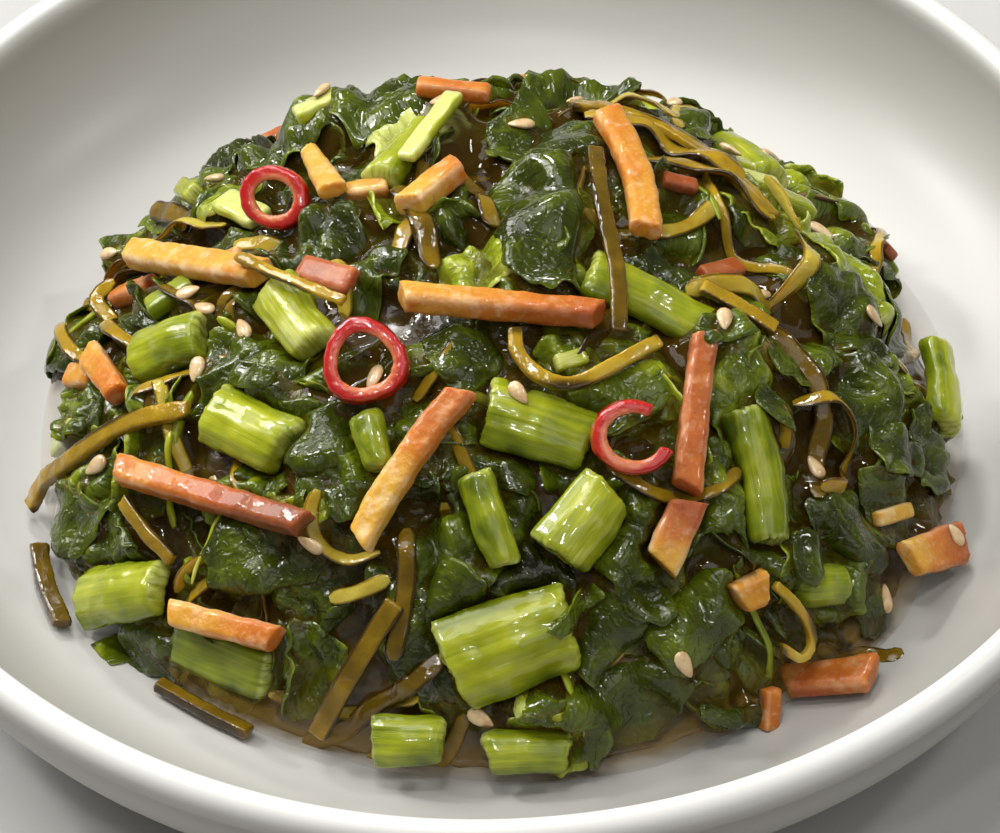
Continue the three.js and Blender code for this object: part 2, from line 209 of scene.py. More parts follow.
class Pile:
    """How high the food is heaped so far, on a grid over the chart, and how high it may be."""

    cell = 0.4
    margin = 7.0  # how far the grid goes past the mound's foot
    bed = -3.6  # level of the core's surface under the mound's
    cover = 0.5  # least level of what lies on top, over the mound's
    shoulder = 0.8  # how much higher it may be away from the top
    ridge = 1.2  # how much higher it may be along the back
    sharp = 0.45  # how softly a piece goes from what is under it to the limit

    def __init__(self, dome: Dome) -> None:
        """Starts with a bare core."""
        self.dome = dome
        self.half = dome.reach + self.margin
        count = int(2 * self.half / self.cell) + 1
        line = np.linspace(-self.half, self.half, count)
        self.a, self.b = np.meshgrid(line, line, indexing="ij")
        places = np.stack([self.a, self.b], axis=-1)
        self.top = self.bed + 0.9 * np.abs(Noise.at(places, 3.8, 11)) + 0.8 * Noise.at(places, 12, 12)
        back = np.exp(-(((self.b - 29) / 7.5) ** 2)) * (1 - smooth_step(np.abs(self.a + 3), 24, 40))
        side = smooth_step(np.hypot(self.a, self.b), 14, 34)
        self.limit = self.cover + self.shoulder * side + 1.8 * Noise.at(places, 8, 13) + self.ridge * back

    def _index(self, a: Array, b: Array) -> Arrays:
        """Grid places of chart places."""
        last = self.top.shape[0] - 1
        i = np.clip(np.rint((a + self.half) / self.cell).astype(int), 0, last)
        j = np.clip(np.rint((b + self.half) / self.cell).astype(int), 0, last)
        return i.ravel(), j.ravel()

    def drop(self, a: Array, b: Array, h: Array) -> None:
        """Adds a piece: the pile is at least as high as its points."""
        np.maximum.at(self.top, self._index(a, b), np.ravel(h))

    def keep_under(self, a: Array, b: Array, h: Array) -> None:
        """Lowers the limit, so that what is laid later stays under these points."""
        np.minimum.at(self.limit, self._index(a, b), np.ravel(h))

    @staticmethod
    def spread(grid: Array, cells: int, pick: Callable = np.maximum) -> Array:
        """Widens the high parts of a grid, or its low parts with np.minimum."""
        for _ in range(cells):
            for axis in (0, 1):
                grid = pick(grid, pick(np.roll(grid, 1, axis), np.roll(grid, -1, axis)))
        return grid

    def fill(self, grid: Array, radius: float) -> Array:
        """Fills the hollows of a grid as a liquid does, up to a surface of that radius, in millimetres."""
        cells = int(2.2 * radius / self.cell)
        for pick, way in ((np.maximum, -1), (np.minimum, 1)):
            for axis in (0, 1):
                drops = [way * (k * self.cell) ** 2 / (2 * radius) for k in range(-cells, cells + 1)]
                grid = pick.reduce([np.roll(grid, k - cells, axis) + drop for k, drop in enumerate(drops)])
        return grid

    @staticmethod
    def soften(grid: Array, passes: int) -> Array:
        """Blurs a grid."""
        for _ in range(passes):
            for axis in (0, 1):
                grid = 0.5 * grid + 0.25 * (np.roll(grid, 1, axis) + np.roll(grid, -1, axis))
        return grid

    def sample(self, grid: Array, a: Array, b: Array) -> Array:
        """Values of a grid between its points."""
        last = grid.shape[0] - 1.001
        u = np.clip((a + self.half) / self.cell, 0, last)
        v = np.clip((b + self.half) / self.cell, 0, last)
        i, j = u.astype(int), v.astype(int)
        u, v = u - i, v - j
        low = grid[i, j] * (1 - v) + grid[i, j + 1] * v
        high = grid[i + 1, j] * (1 - v) + grid[i + 1, j + 1] * v
        return low * (1 - u) + high * u

    def rest(self, a: Array, b: Array, room: float, stiff: int = 5, free: bool = False) -> Array:
        """Height at which something soft comes to rest.

        Args:
            a, b: chart places of its points.
            room: how far it stands up over its own base.
            stiff: how many times the pile under it is smoothed out.
            free: whether it may lie above the limit.

        Returns:
            The height of its base at each point, pressed under the limit.
        """
        under = self.sample(self.soften(self.spread(self.top, 1), stiff), a, b)
        if free:
            return under
        limit = self.sample(self.ceiling, a, b) - room
        return -self.sharp * np.logaddexp(-under / self.sharp, -limit / self.sharp)

    @property
    def ceiling(self) -> Array:
        """The limit, widened a little round what lowers it."""
        return self.soften(self.spread(self.limit, 1, np.minimum), 2)


@dataclass
class Layer:
    """Food or juice that lies on the pile."""

    pile: Pile

    @property
    def dome(self) -> Dome:
        """The mound under the pile."""
        return self.pile.dome


# ---- Meshes ----


def new_object(name: str, data: bpy.types.ID) -> bpy.types.Object:
    """Makes an object of a mesh, light or camera and puts it into the scene."""
    made = bpy.data.objects.new(name, data)
    bpy.context.scene.collection.objects.link(made)
    return made


def applied_mesh(piece: bpy.types.Object) -> bpy.types.Mesh:
    """A plain mesh of the object with its modifiers applied."""
    bpy.context.view_layer.update()
    ready = piece.evaluated_get(bpy.context.evaluated_depsgraph_get())
    return bpy.data.meshes.new_from_object(ready)


class Gathered:
    """Points, in millimetres, that are gathered piece by piece, with attributes."""

    def __init__(self) -> None:
        """Starts without any points."""
        self.points: list[Array] = []
        self.values: dict[str, list[Array]] = {}
        self.count = 0

    def gather(self, points: Array, values: dict[str, Array]) -> None:
        """Adds points, with a number or vector for each under every name."""
        self.points.append(points)
        self.count += len(points)
        for key, value in values.items():
            self.values.setdefault(key, []).append(np.asarray(value, float))

    def store(self, mesh: bpy.types.Mesh) -> None:
        """Writes the attributes into a mesh of the points."""
        for key, parts in self.values.items():
            data = np.concatenate(parts).astype(np.float32)
            wide = data.ndim > 1
            layer = mesh.attributes.new(key, "FLOAT_VECTOR" if wide else "FLOAT", "POINT")
            layer.data.foreach_set("vector" if wide else "value", data.ravel())


class MeshBatch(Gathered):
    """Closed pieces that become one mesh."""

    def __init__(self, name: str) -> None:
        """Starts an empty batch for an object of that name."""
        super().__init__()
        self.name = name
        self.faces: list[Array] = []

    def add(self, points: Array, *faces: Array, **values: Array) -> None:
        """Adds one piece.

        Args:
            points: its points, in millimetres.
            faces: its quads and its triangles, as rows of point numbers.
            values: attributes, one number or vector per point.
        """
        self.faces += [part + self.count for part in faces]
        self.gather(points, values)

    @property
    def triangles(self) -> int:
        """How many triangles the batch holds."""
        return sum(len(faces) * (faces.shape[1] - 2) for faces in self.faces)

    def build(self, material: bpy.types.Material) -> bpy.types.Object:
        """Makes the object, smooth shaded.

        Args:
            material: its material.

        Returns:
            The object.
        """
        mesh = bpy.data.meshes.new(self.name)
        points = np.concatenate(self.points) * MM
        mesh.vertices.add(len(points))
        mesh.vertices.foreach_set("co", points.astype(np.float32).ravel())
        totals = np.concatenate([np.full(len(f), f.shape[1]) for f in self.faces])
        corners = np.concatenate([f.ravel() for f in self.faces])
        mesh.loops.add(len(corners))
        mesh.loops.foreach_set("vertex_index", corners.astype(np.int32))
        mesh.polygons.add(len(totals))
        starts = np.concatenate([[0], np.cumsum(totals)[:-1]])
        mesh.polygons.foreach_set("loop_start", starts.astype(np.int32))
        mesh.update(calc_edges=True)
        mesh.polygons.foreach_set("use_smooth", np.ones(len(totals), bool))
        self.store(mesh)
        mesh.materials.append(material)
        mesh.validate()
        return new_object(self.name, mesh)


def grid_faces(rows: int, columns: int, first: int = 0) -> Array:
    """Quads of a grid of points, turned so that they face along rows x columns."""
    index = np.arange(rows * columns).reshape(rows, columns) + first
    quads = [index[:-1, :-1], index[1:, :-1], index[1:, 1:], index[:-1, 1:]]
    return np.stack([q.ravel() for q in quads], axis=-1)


def closed_sheet(upper: Array, lower: Array) -> Arrays:
    """A closed body between two grids of points.

    Args:
        upper, lower: the two faces, of shape rows x columns x 3.

    Returns:
        The points, and the quads with a rim round the edge.
    """
    rows, columns = upper.shape[:2]
    count = rows * columns
    index = np.arange(count).reshape(rows, columns)
    edge = np.concatenate([index[0, :-1], index[:-1, -1], index[-1, :0:-1], index[:0:-1, 0]])
    after = np.roll(edge, -1)
    rim = np.stack([edge, after, after + count, edge + count], axis=-1)
    faces = np.concatenate([grid_faces(rows, columns), grid_faces(rows, columns, count)[:, ::-1], rim])
    return np.concatenate([upper.reshape(-1, 3), lower.reshape(-1, 3)]), faces


def turned_faces(rings: int, segments: int) -> Arrays:
    """Faces of a closed body of rings of points, with a middle point before them and one after.

    Args:
        rings: how many rings.
        segments: how many points each ring has.

    Returns:
        The quads between the rings, and the triangles that close the first and the last ring.
    """
    count = rings * segments
    index = np.arange(count).reshape(rings, segments)
    after = np.roll(index, -1, axis=1)
    sides = np.stack([index[:-1], after[:-1], after[1:], index[1:]], axis=-1).reshape(-1, 4)
    first = np.stack([np.full(segments, count), after[0], index[0]], axis=-1)
    last = np.stack([np.full(segments, count + 1), index[-1], after[-1]], axis=-1)
    return sides, np.concatenate([first, last])


def grid_normals(points: Array) -> Array:
    """Directions out of a grid of points."""
    out = np.cross(np.gradient(points, axis=0), np.gradient(points, axis=1))
    return out / np.maximum(np.linalg.norm(out, axis=-1, keepdims=True), 1e-9)


def finish_piece(piece: bpy.types.Object, slot: str, *nodes: str) -> bpy.types.Object:
    """Makes a piece ride on the body and lets it stand for CAD nodes."""
    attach(piece, BODY)
    if nodes:
        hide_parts(*nodes)
    faces = sum(len(p.vertices) - 2 for p in piece.data.polygons)
    LOG.info("%s: %d triangles", piece.name, faces)
    return piece


def nodes_of(kind: str) -> list[str]:
    """Names of the CAD nodes of one kind, in order."""
    return sorted(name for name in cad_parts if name.startswith(kind))


# ---- Node trees ----


class Value:
    """A node's output that takes part in sums: each operation adds a Math node."""

    def __init__(self, tree: "Tree", socket: bpy.types.NodeSocket) -> None:
        """Wraps a socket of a tree."""
        self.tree = tree
        self.socket = socket

    def __add__(self, other: "Value | float") -> "Value":
        """self + other."""
        return self.tree.math("ADD", self, other)

    __radd__ = __add__

    def __mul__(self, other: "Value | float") -> "Value":
        """self * other."""
        return self.tree.math("MULTIPLY", self, other)

    __rmul__ = __mul__

    def __sub__(self, other: "Value | float") -> "Value":
        """self - other."""
        return self.tree.math("SUBTRACT", self, other)

    def __rsub__(self, other: "Value | float") -> "Value":
        """other - self."""
        return self.tree.math("SUBTRACT", other, self)

    def __abs__(self) -> "Value":
        """The size of self without its sign."""
        return self.tree.math("ABSOLUTE", self)

    def step(self, low: float, high: float) -> "Value":
        """Smoothly from 0 at low to 1 at high."""
        given = {"Value": self, "From Min": low, "From Max": high}
        return self.tree.value("ShaderNodeMapRange", given, interpolation_type="SMOOTHSTEP")


class Tree:
    """A node tree that is written from Python."""

    def __init__(self, nodes: bpy.types.NodeTree) -> None:
        """Wraps an empty tree."""
        self.tree = nodes

    def node(self, kind: str, inputs: dict | None = None, **settings: object) -> bpy.types.Node:
        """Adds a node.

        Args:
            kind: its type.
            inputs: values or links of its sockets, by name or number.
            settings: its properties, set first. "stops" are a ramp's places and colours.

        Returns:
            The node.
        """
        node = self.tree.nodes.new(kind)
        for key, setting in settings.items():
            if key == "stops":
                self._fill_ramp(node.color_ramp, setting)
            else:
                setattr(node, key, setting)
        for key, given in (inputs or {}).items():
            socket = node.inputs[key]
            if isinstance(given, Value):
                self.tree.links.new(given.socket, socket)
            else:
                socket.default_value = given
        return node

    @staticmethod
    def _fill_ramp(ramp: bpy.types.ColorRamp, stops: Sequence[tuple[float, Colour]]) -> None:
        """Sets the stops of a colour ramp."""
        while len(ramp.elements) < len(stops):
            ramp.elements.new(1)
        for element, (place, colour) in zip(ramp.elements, stops):
            element.position = place
            element.color = (*colour, 1)

    def value(
        self, kind: str, inputs: dict | None = None, output: int | str = 0, **settings: object
    ) -> Value:
        """Adds a node and wraps one of its outputs."""
        return Value(self, self.node(kind, inputs, **settings).outputs[output])

    def math(self, operation: str, *values: Value | float) -> Value:
        """Adds a Math node."""
        return self.value("ShaderNodeMath", dict(enumerate(values)), operation=operation)

    def vector_math(self, operation: str, first: Value, second: Value | float | Triple) -> Value:
        """Adds a Vector Math node. SCALE takes a number, the others take a second vector."""
        inputs = {0: first, "Scale" if operation == "SCALE" else 1: second}
        return self.value("ShaderNodeVectorMath", inputs, operation=operation)

    def vector(self, x: Value | float, y: Value | float, z: Value | float) -> Value:
        """Joins three numbers into a vector."""
        return self.value("ShaderNodeCombineXYZ", {0: x, 1: y, 2: z})

    def parts(self, vector: Value) -> tuple[Value, Value, Value]:
        """Splits a vector into three numbers."""
        node = self.node("ShaderNodeSeparateXYZ", {0: vector})
        return tuple(Value(self, output) for output in node.outputs)

    def blend(self, share: Value | float, first: Value | Colour, second: Value | Colour) -> Value:
        """Mixes two colours."""
        first, second = (c if isinstance(c, Value) else (*c, 1) for c in (first, second))
        return self.value("ShaderNodeMix", {0: share, 6: first, 7: second}, 2, data_type="RGBA")

    def ramp(self, share: Value, *stops: tuple[float, Colour]) -> Value:
        """Looks a colour up on a ramp."""
        return self.value("ShaderNodeValToRGB", {0: share}, stops=stops)

    def attribute(self, name: str, output: str = "Fac") -> Value:
        """Reads an attribute of the mesh in a material."""
        return self.value("ShaderNodeAttribute", output=output, attribute_name=name)

    def noise(self, size: float, detail: float = 2) -> Value:
        """Noise in space, 0 to 1, for a material. size is from bump to bump, in millimetres."""
        return self.grain(self.place(), 1 / (size * MM), detail)

    def grain(self, at: Value, scale: float, detail: float = 2, rough: float = 0.5) -> Value:
        """Noise at given coordinates, 0 to 1. scale is the bumps per unit of them."""
        inputs = {"Vector": at, "Scale": scale, "Detail": detail, "Roughness": rough}
        return self.value("ShaderNodeTexNoise", inputs)

    def place(self) -> Value:
        """Object coordinates, in metres."""
        return self.value("ShaderNodeTexCoord", output="Object")

    def bump(self, height: Value, depth: float, before: Value | None = None) -> Value:
        """A Bump node. depth is the height of a full bump, in millimetres."""
        inputs = {"Height": height, "Strength": 1.0, "Distance": depth * MM}
        if before is not None:
            inputs["Normal"] = before
        return self.value("ShaderNodeBump", inputs)


class Surface(Tree):
    """The tree of a material with one Principled shader."""

    def __init__(self, name: str) -> None:
        """Makes the material."""
        self.material = bpy.data.materials.new(name)
        self.material.use_nodes = True
        super().__init__(self.material.node_tree)
        self.tree.nodes.clear()

    def finish(self, **sockets: Value | float | Colour) -> bpy.types.Material:
        """Adds the shader and the output.

        Args:
            sockets: the shader's sockets, by name with _ for a space.

        Returns:
            The material.
        """
        inputs = {}
        for key, given in sockets.items():
            wide = isinstance(given, tuple) and len(given) == 3 and key.endswith("Color")
            inputs[key.replace("_", " ")] = (*given, 1) if wide else given
        shader = self.value("ShaderNodeBsdfPrincipled", inputs)
        self.node("ShaderNodeOutputMaterial", {"Surface": shader})
        return self.material


class Recipe(Tree):
    """A Geometry Nodes tree with named inputs, whose result becomes a plain mesh."""

    def __init__(self, name: str) -> None:
        """Starts a tree that takes and gives geometry."""
        group = bpy.data.node_groups.new(name, "GeometryNodeTree")
        super().__init__(group)
        group.interface.new_socket("Geometry", in_out="OUTPUT", socket_type="NodeSocketGeometry")
        self.identifiers: dict[str, str] = {}
        self.given = self.node("NodeGroupInput")
        self.source = self.ask("Geometry", "NodeSocketGeometry")

    def ask(self, name: str, kind: str, default: float | int | None = None) -> Value:
        """Adds a named input and wraps it."""
        socket = self.tree.interface.new_socket(name, in_out="INPUT", socket_type=kind)
        if default is not None:
            socket.default_value = default
        self.identifiers[name] = socket.identifier
        return Value(self, self.given.outputs[name])

    def stored(self, name: str, data_type: str = "FLOAT_VECTOR") -> Value:
        """Reads a named attribute of the points."""
        return self.value("GeometryNodeInputNamedAttribute", {"Name": name}, data_type=data_type)

    def position(self) -> Value:
        """Where each point is."""
        return self.value("GeometryNodeInputPosition")

    def keep(self, geometry: Value, name: str, value: Value, data_type: str = "FLOAT_VECTOR") -> Value:
        """Stores a vector or a number on each point under a name."""
        inputs = {"Geometry": geometry, "Name": name, "Value": value}
        return self.value("GeometryNodeStoreNamedAttribute", inputs, data_type=data_type)

    def roughen(self, geometry: Value, size: float, depth: Value) -> Value:
        """Moves each point by noise of a size, in millimetres, and a depth, in metres."""
        given = {"Vector": self.position(), "Scale": 1 / (size * MM)}
        colour = self.value("ShaderNodeTexNoise", given, "Color")
        centred = self.vector_math("SUBTRACT", colour, (0.5, 0.5, 0.5))
        offset = self.vector_math("SCALE", centred, depth * 2)
        return self.value("GeometryNodeSetPosition", {"Geometry": geometry, "Offset": offset})

    def end(self, geometry: Value, material: Value) -> None:
        """Realizes the instances, shades them smooth, sets the material and closes the tree."""
        real = self.value("GeometryNodeRealizeInstances", {"Geometry": geometry})
        smooth = self.value("GeometryNodeSetShadeSmooth", {"Geometry": real})
        dressed = self.value("GeometryNodeSetMaterial", {"Geometry": smooth, "Material": material})
        self.node("NodeGroupOutput", {"Geometry": dressed})

    def apply(self, name: str, mesh: bpy.types.Mesh, inputs: dict[str, object]) -> bpy.types.Object:
        """Runs the tree on a mesh.

        Args:
            name: the object's name.
            mesh: what the tree starts from.
            inputs: values of the tree's inputs, by name.

        Returns:
            An object with the result as its plain mesh.
        """
        piece = new_object(name, mesh)
        modifier = piece.modifiers.new(name, "NODES")
        modifier.node_group = self.tree
        for key, given in inputs.items():
            modifier[self.identifiers[key]] = given
        result = applied_mesh(piece)
        piece.modifiers.clear()
        piece.data = result
        result.name = name
        return piece


class Lines(Gathered):
    """Rows of points that a Geometry Nodes tree starts from."""

    def __init__(self) -> None:
        """Starts without any rows."""
        super().__init__()
        self.edges: list[tuple[int, int]] = []

    def add(self, points: Array, **values: Array) -> None:
        """Adds a row of points, joined by edges, with a number or vector for each."""
        self.edges += [(k, k + 1) for k in range(self.count, self.count + len(points) - 1)]
        self.gather(points, values)

    def mesh(self, name: str) -> bpy.types.Mesh:
        """The points and edges as a mesh."""
        mesh = bpy.data.meshes.new(name)
        mesh.from_pydata((np.concatenate(self.points) * MM).tolist(), self.edges, [])
        self.store(mesh)
        return mesh


# ---- Finishes ----


class Finish(Protocol):
    """Anything that can build a material."""

    def material(self) -> bpy.types.Material:
        """Builds the material."""


def coat(weight: float, rough: float) -> dict[str, float]:
    """Settings of a coat of juice."""
    return {"Coat_Weight": weight, "Coat_Roughness": rough, "Coat_IOR": WATER}


def fleshy(weight: float, radius: Colour, scale: float) -> dict[str, float | Colour]:
    """Settings of the light that goes on inside a piece. scale is in metres."""
    return {"Subsurface_Weight": weight, "Subsurface_Radius": radius, "Subsurface_Scale": scale}


@dataclass(frozen=True)
class Porcelain:
    """White glaze, a little warm, with very faint cloudiness; painted shade makes it darker from a little
    above the floor's level up, and painted light makes the rim whitest.
    """

    white: Colour = (0.50, 0.496, 0.476)
    cloud: Colour = (0.475, 0.47, 0.447)
    # wall: painted shade, for the glaze higher than the floor
    wall: Colour = (0.365, 0.357, 0.328)
    # rim: painted light, for the top of the rim
    rim: Colour = (0.70, 0.695, 0.675)

    def material(self) -> bpy.types.Material:
        """Builds the material."""
        s = Surface("porcelain_glaze")
        cloud = s.noise(38, 3)
        waves = s.noise(22, 1)
        height = s.parts(s.place())[2]
        # Painted shade: darker glaze from a little above the floor's level up; painted light: the whitest
        # glaze on the rim.
        glaze = s.blend(height.step(0.008, 0.013), s.blend(cloud, self.white, self.cloud), self.wall)
        return s.finish(
            Base_Color=s.blend(height.step(0.0225, 0.0265), glaze, self.rim),
            Roughness=0.42 + cloud * 0.1,
            Coat_Weight=0.3,
            Coat_Roughness=0.3,
            Normal=s.bump(waves, 0.06),
        )


@dataclass(frozen=True)
class Leaf:
    """Wet leaf, coated with juice: near black to green by a random tone, with painted light making the raised
    puckers and the thin edges lighter, and painted shade in the hollows.
    """

    black: Colour = (0.011, 0.012, 0.001)
    dark: Colour = (0.029, 0.041, 0.002)
    green: Colour = (0.082, 0.112, 0.004)
    light: Colour = (0.28, 0.33, 0.012)
    pale: Colour = (0.46, 0.50, 0.13)

    def material(self) -> bpy.types.Material:
        """Builds the material."""
        s = Surface("wet_leaf")
        patch = s.noise(4.5, 3)
        fine = s.noise(0.8, 4)
        wet = s.noise(2.4, 1)
        relief = s.attribute("relief")
        flat = s.attribute("sheet", "Vector")
        drift = s.value("ShaderNodeTexNoise", {"Vector": flat, "Scale": 0.5}, "Color")
        bent = s.vector_math("ADD", flat, s.vector_math("SCALE", drift, 1.6))
        net = {"Vector": bent, "Scale": 0.35}
        cells = s.value("ShaderNodeTexVoronoi", net, feature="DISTANCE_TO_EDGE")
        vein = (1 - cells.step(0.0, 0.08)) * patch.step(0.45, 0.6)
        crease = abs(s.grain(bent, 0.55) - 0.5)
        # Painted light and shade: the raised parts of the relief are lighter and its hollows darker, and the
        # tone brings the painted light of the thin edges.
        share = s.attribute("tone") + (patch - 0.5) * 0.7 + (fine - 0.5) * 0.2 + (relief - 0.5) * 0.25
        stops = (0.0, self.black), (0.3, self.dark), (0.6, self.green), (0.85, self.light), (1.0, self.pale)
        green = s.ramp(share, *stops)
        skin = s.bump(wet, 0.2, s.bump(fine - vein * 0.3, 0.03))
        return s.finish(
            Base_Color=s.blend(vein * 0.12, green, self.light),
            Roughness=0.08 + fine * 0.12,
            Specular_IOR_Level=0.25,
            Normal=s.bump(crease.step(0.0, 0.16), 0.16, skin),
            **coat(0.65, 0.025),
        )


@dataclass(frozen=True)
class Stalk:
    """Leaf stalk: translucent yellow-green, faintly streaked lengthwise, paler at the cut ends, with painted
    light on its top and painted shade along its sides.
    """

    deep: Colour = (0.045, 0.070, 0.002)
    fresh: Colour = (0.19, 0.235, 0.005)
    yellow: Colour = (0.36, 0.385, 0.015)
    pale: Colour = (0.54, 0.57, 0.17)

    def material(self) -> bpy.types.Material:
        """Builds the material."""
        s = Surface("leaf_stalk")
        along, across, out = s.parts(s.attribute("grain", "Vector"))
        tone = s.attribute("tone")
        line = s.vector(along * 1.3, across * 13.0, tone * 9.0 + out * 1.5)
        streak = s.grain(line, 1.0, 4, 0.6)
        patch = s.noise(4.5, 2)
        # Painted shade darkens the sides, and painted light (out) makes the top lighter.
        side = abs(across + (patch - 0.5) * 0.25).step(0.30, 0.5)
        share = (streak - 0.5) * 0.8 + (patch - 0.5) * 0.9 + tone - side * 0.2 + out * 0.2
        body = s.ramp(share, (0.05, self.deep), (0.42, self.fresh), (0.8, self.yellow), (1.0, self.pale))
        cut = abs(along).step(0.44, 0.5) * streak.step(0.3, 0.6) * 0.7
        return s.finish(
            Base_Color=s.blend(cut, body, self.pale),
            Roughness=0.26,
            Specular_IOR_Level=0.3,
            Normal=s.bump(streak, 0.08, s.bump(patch, 0.16)),
            **fleshy(0.4, (1.0, 1.0, 0.25), 0.0016),
            **coat(0.9, 0.04),
        )


@dataclass(frozen=True)
class Carrot:
    """Carrot: from pale yellow-orange to brownish red, with a finely rough cut face and a whitish painted
    sheen in specks, in patches and along its upper edges.
    """

    yellow: Colour = (0.58, 0.33, 0.04)
    orange: Colour = (0.50, 0.155, 0.014)
    red: Colour = (0.34, 0.078, 0.016)
    brown: Colour = (0.19, 0.065, 0.025)
    frost: Colour = (0.76, 0.60, 0.38)

    def material(self) -> bpy.types.Material:
        """Builds the material."""
        s = Surface("carrot")
        patch = s.noise(3.2, 2)
        fine = s.noise(0.55, 4)
        _, across, out = s.parts(s.attribute("grain", "Vector"))
        # Painted sheen: whitish specks, patches and upper edges, most on the paler parts.
        rim = abs(across + (patch - 0.5) * 0.2).step(0.34, 0.5) * out.step(0.0, 0.4)
        share = s.attribute("tone") + (patch - 0.5) * 0.5 - out * 0.12
        body = s.ramp(share, (0.0, self.yellow), (0.38, self.orange), (0.7, self.red), (1.0, self.brown))
        veil = s.noise(1.8, 3).step(0.5, 0.68)
        frost = (fine.step(0.54, 0.72) * 0.3 + rim * 0.5 + veil * 0.4) * (1 - s.attribute("tone"))
        return s.finish(
            Base_Color=s.blend(frost, body, self.frost),
            Roughness=0.3 + fine * 0.2,
            Specular_IOR_Level=0.2,
            Normal=s.bump(fine, 0.1, s.bump(patch, 0.2)),
            **fleshy(0.55, (1.4, 0.6, 0.2), 0.002),
            **coat(0.45, 0.03),
        )


@dataclass(frozen=True)
class Kelp:
    """Kelp: a slippery ribbon, with painted light coming through it making it amber and straw, and painted
    shade making its edges darker brown.
    """

    brown: Colour = (0.034, 0.019, 0.002)
    olive: Colour = (0.13, 0.078, 0.004)
    amber: Colour = (0.36, 0.225, 0.010)
    straw: Colour = (0.52, 0.43, 0.07)

    def material(self) -> bpy.types.Material:
        """Builds the material."""
        s = Surface("kelp")
        patch = s.noise(4.0, 3)
        fine = s.noise(0.8, 2)
        # Painted shade darkens the edges; the amber and straw of the ramp are painted light coming through.
        share = s.attribute("tone") + (patch - 0.5) * 0.6 - s.attribute("edge").step(0.62, 0.95) * 0.6
        body = s.ramp(share, (0.0, self.brown), (0.34, self.olive), (0.66, self.amber), (1.0, self.straw))
        return s.finish(
            Base_Color=body,
            Roughness=0.12,
            Specular_IOR_Level=0.28,
            Normal=s.bump(patch, 0.3, s.bump(fine, 0.1)),
            **fleshy(0.4, (1.2, 0.8, 0.2), 0.0022),
            **coat(0.7, 0.025),
        )


@dataclass(frozen=True)
class Chilli:
    """Red chilli: glossy skin outside, a lighter cut face, and a pale orange inner edge."""

    skin: Colour = (0.44, 0.004, 0.006)
    flesh: Colour = (0.50, 0.028, 0.016)
    inner: Colour = (0.72, 0.30, 0.12)

    def material(self) -> bpy.types.Material:
        """Builds the material."""
        s = Surface("red_chilli")
        rim = s.attribute("rim")
        fine = s.noise(0.6, 3)
        face = s.blend(rim.step(0.62, 0.95), self.flesh, self.skin)
        edge = (1 - (rim + (fine - 0.5) * 0.12).step(0.60, 0.74)) * 0.6
        return s.finish(
            Base_Color=s.blend(edge, face, self.inner),
            Roughness=0.22,
            Normal=s.bump(fine, 0.08),
            **fleshy(0.2, (1.4, 0.3, 0.2), 0.0008),
            **coat(1.0, 0.03),
        )


@dataclass(frozen=True)
class Sesame:
    """Sesame seed: cream with a faint tan shade."""

    cream: Colour = (0.66, 0.49, 0.27)
    tan: Colour = (0.46, 0.27, 0.11)

    def material(self) -> bpy.types.Material:
        """Builds the material."""
        s = Surface("sesame")
        patch = s.noise(1.3, 3)
        return s.finish(
            Base_Color=s.blend(patch.step(0.35, 0.75), self.cream, self.tan),
            Roughness=0.35,
            Coat_Weight=0.7,
            Coat_Roughness=0.08,
            Normal=s.bump(patch, 0.1),
        )


@dataclass(frozen=True)
class Juice:
    """Clear brown juice: see-through where it is thin, dark where it is deep, and mirror smooth."""

    amber: Colour = (0.34, 0.19, 0.02)
    brown: Colour = (0.05, 0.026, 0.001)
    pool: Colour = (0.40, 0.24, 0.04)

    def material(self) -> bpy.types.Material:
        """Builds the material."""
        s = Surface("brown_juice")
        depth, pool = s.attribute("depth"), s.attribute("pool")
        body = s.blend(depth.step(0.0, 0.4), self.amber, self.brown)
        return s.finish(
            Base_Color=s.blend(pool, body, self.pool),
            Roughness=0.02,
            IOR=WATER,
            Alpha=0.02 + depth * 0.84,
            Normal=s.bump(s.noise(2.6, 1), 0.22),
        )


@dataclass(frozen=True)
class Core:
    """The inside of the heap, painted almost black green as its shade, and wet."""

    black: Colour = (0.016, 0.011, 0.001)
    green: Colour = (0.05, 0.036, 0.003)

    def material(self) -> bpy.types.Material:
        """Builds the material."""
        s = Surface("painted_shade_core")
        patch = s.noise(3.0, 4)
        return s.finish(
            Base_Color=s.blend(patch.step(0.4, 0.7), self.black, self.green),
            Roughness=0.3,
            Coat_Weight=1.0,
            Coat_Roughness=0.05,
            Normal=s.bump(patch, 0.5),
        )


@dataclass(frozen=True)
class Floor:
    """A plain pale table top."""

    grey: Colour = (0.44, 0.437, 0.425)

    def material(self) -> bpy.types.Material:
        """Builds the material."""
        s = Surface("pale_table")
        return s.finish(Base_Color=self.grey, Roughness=0.6)


# ---- The dish ----


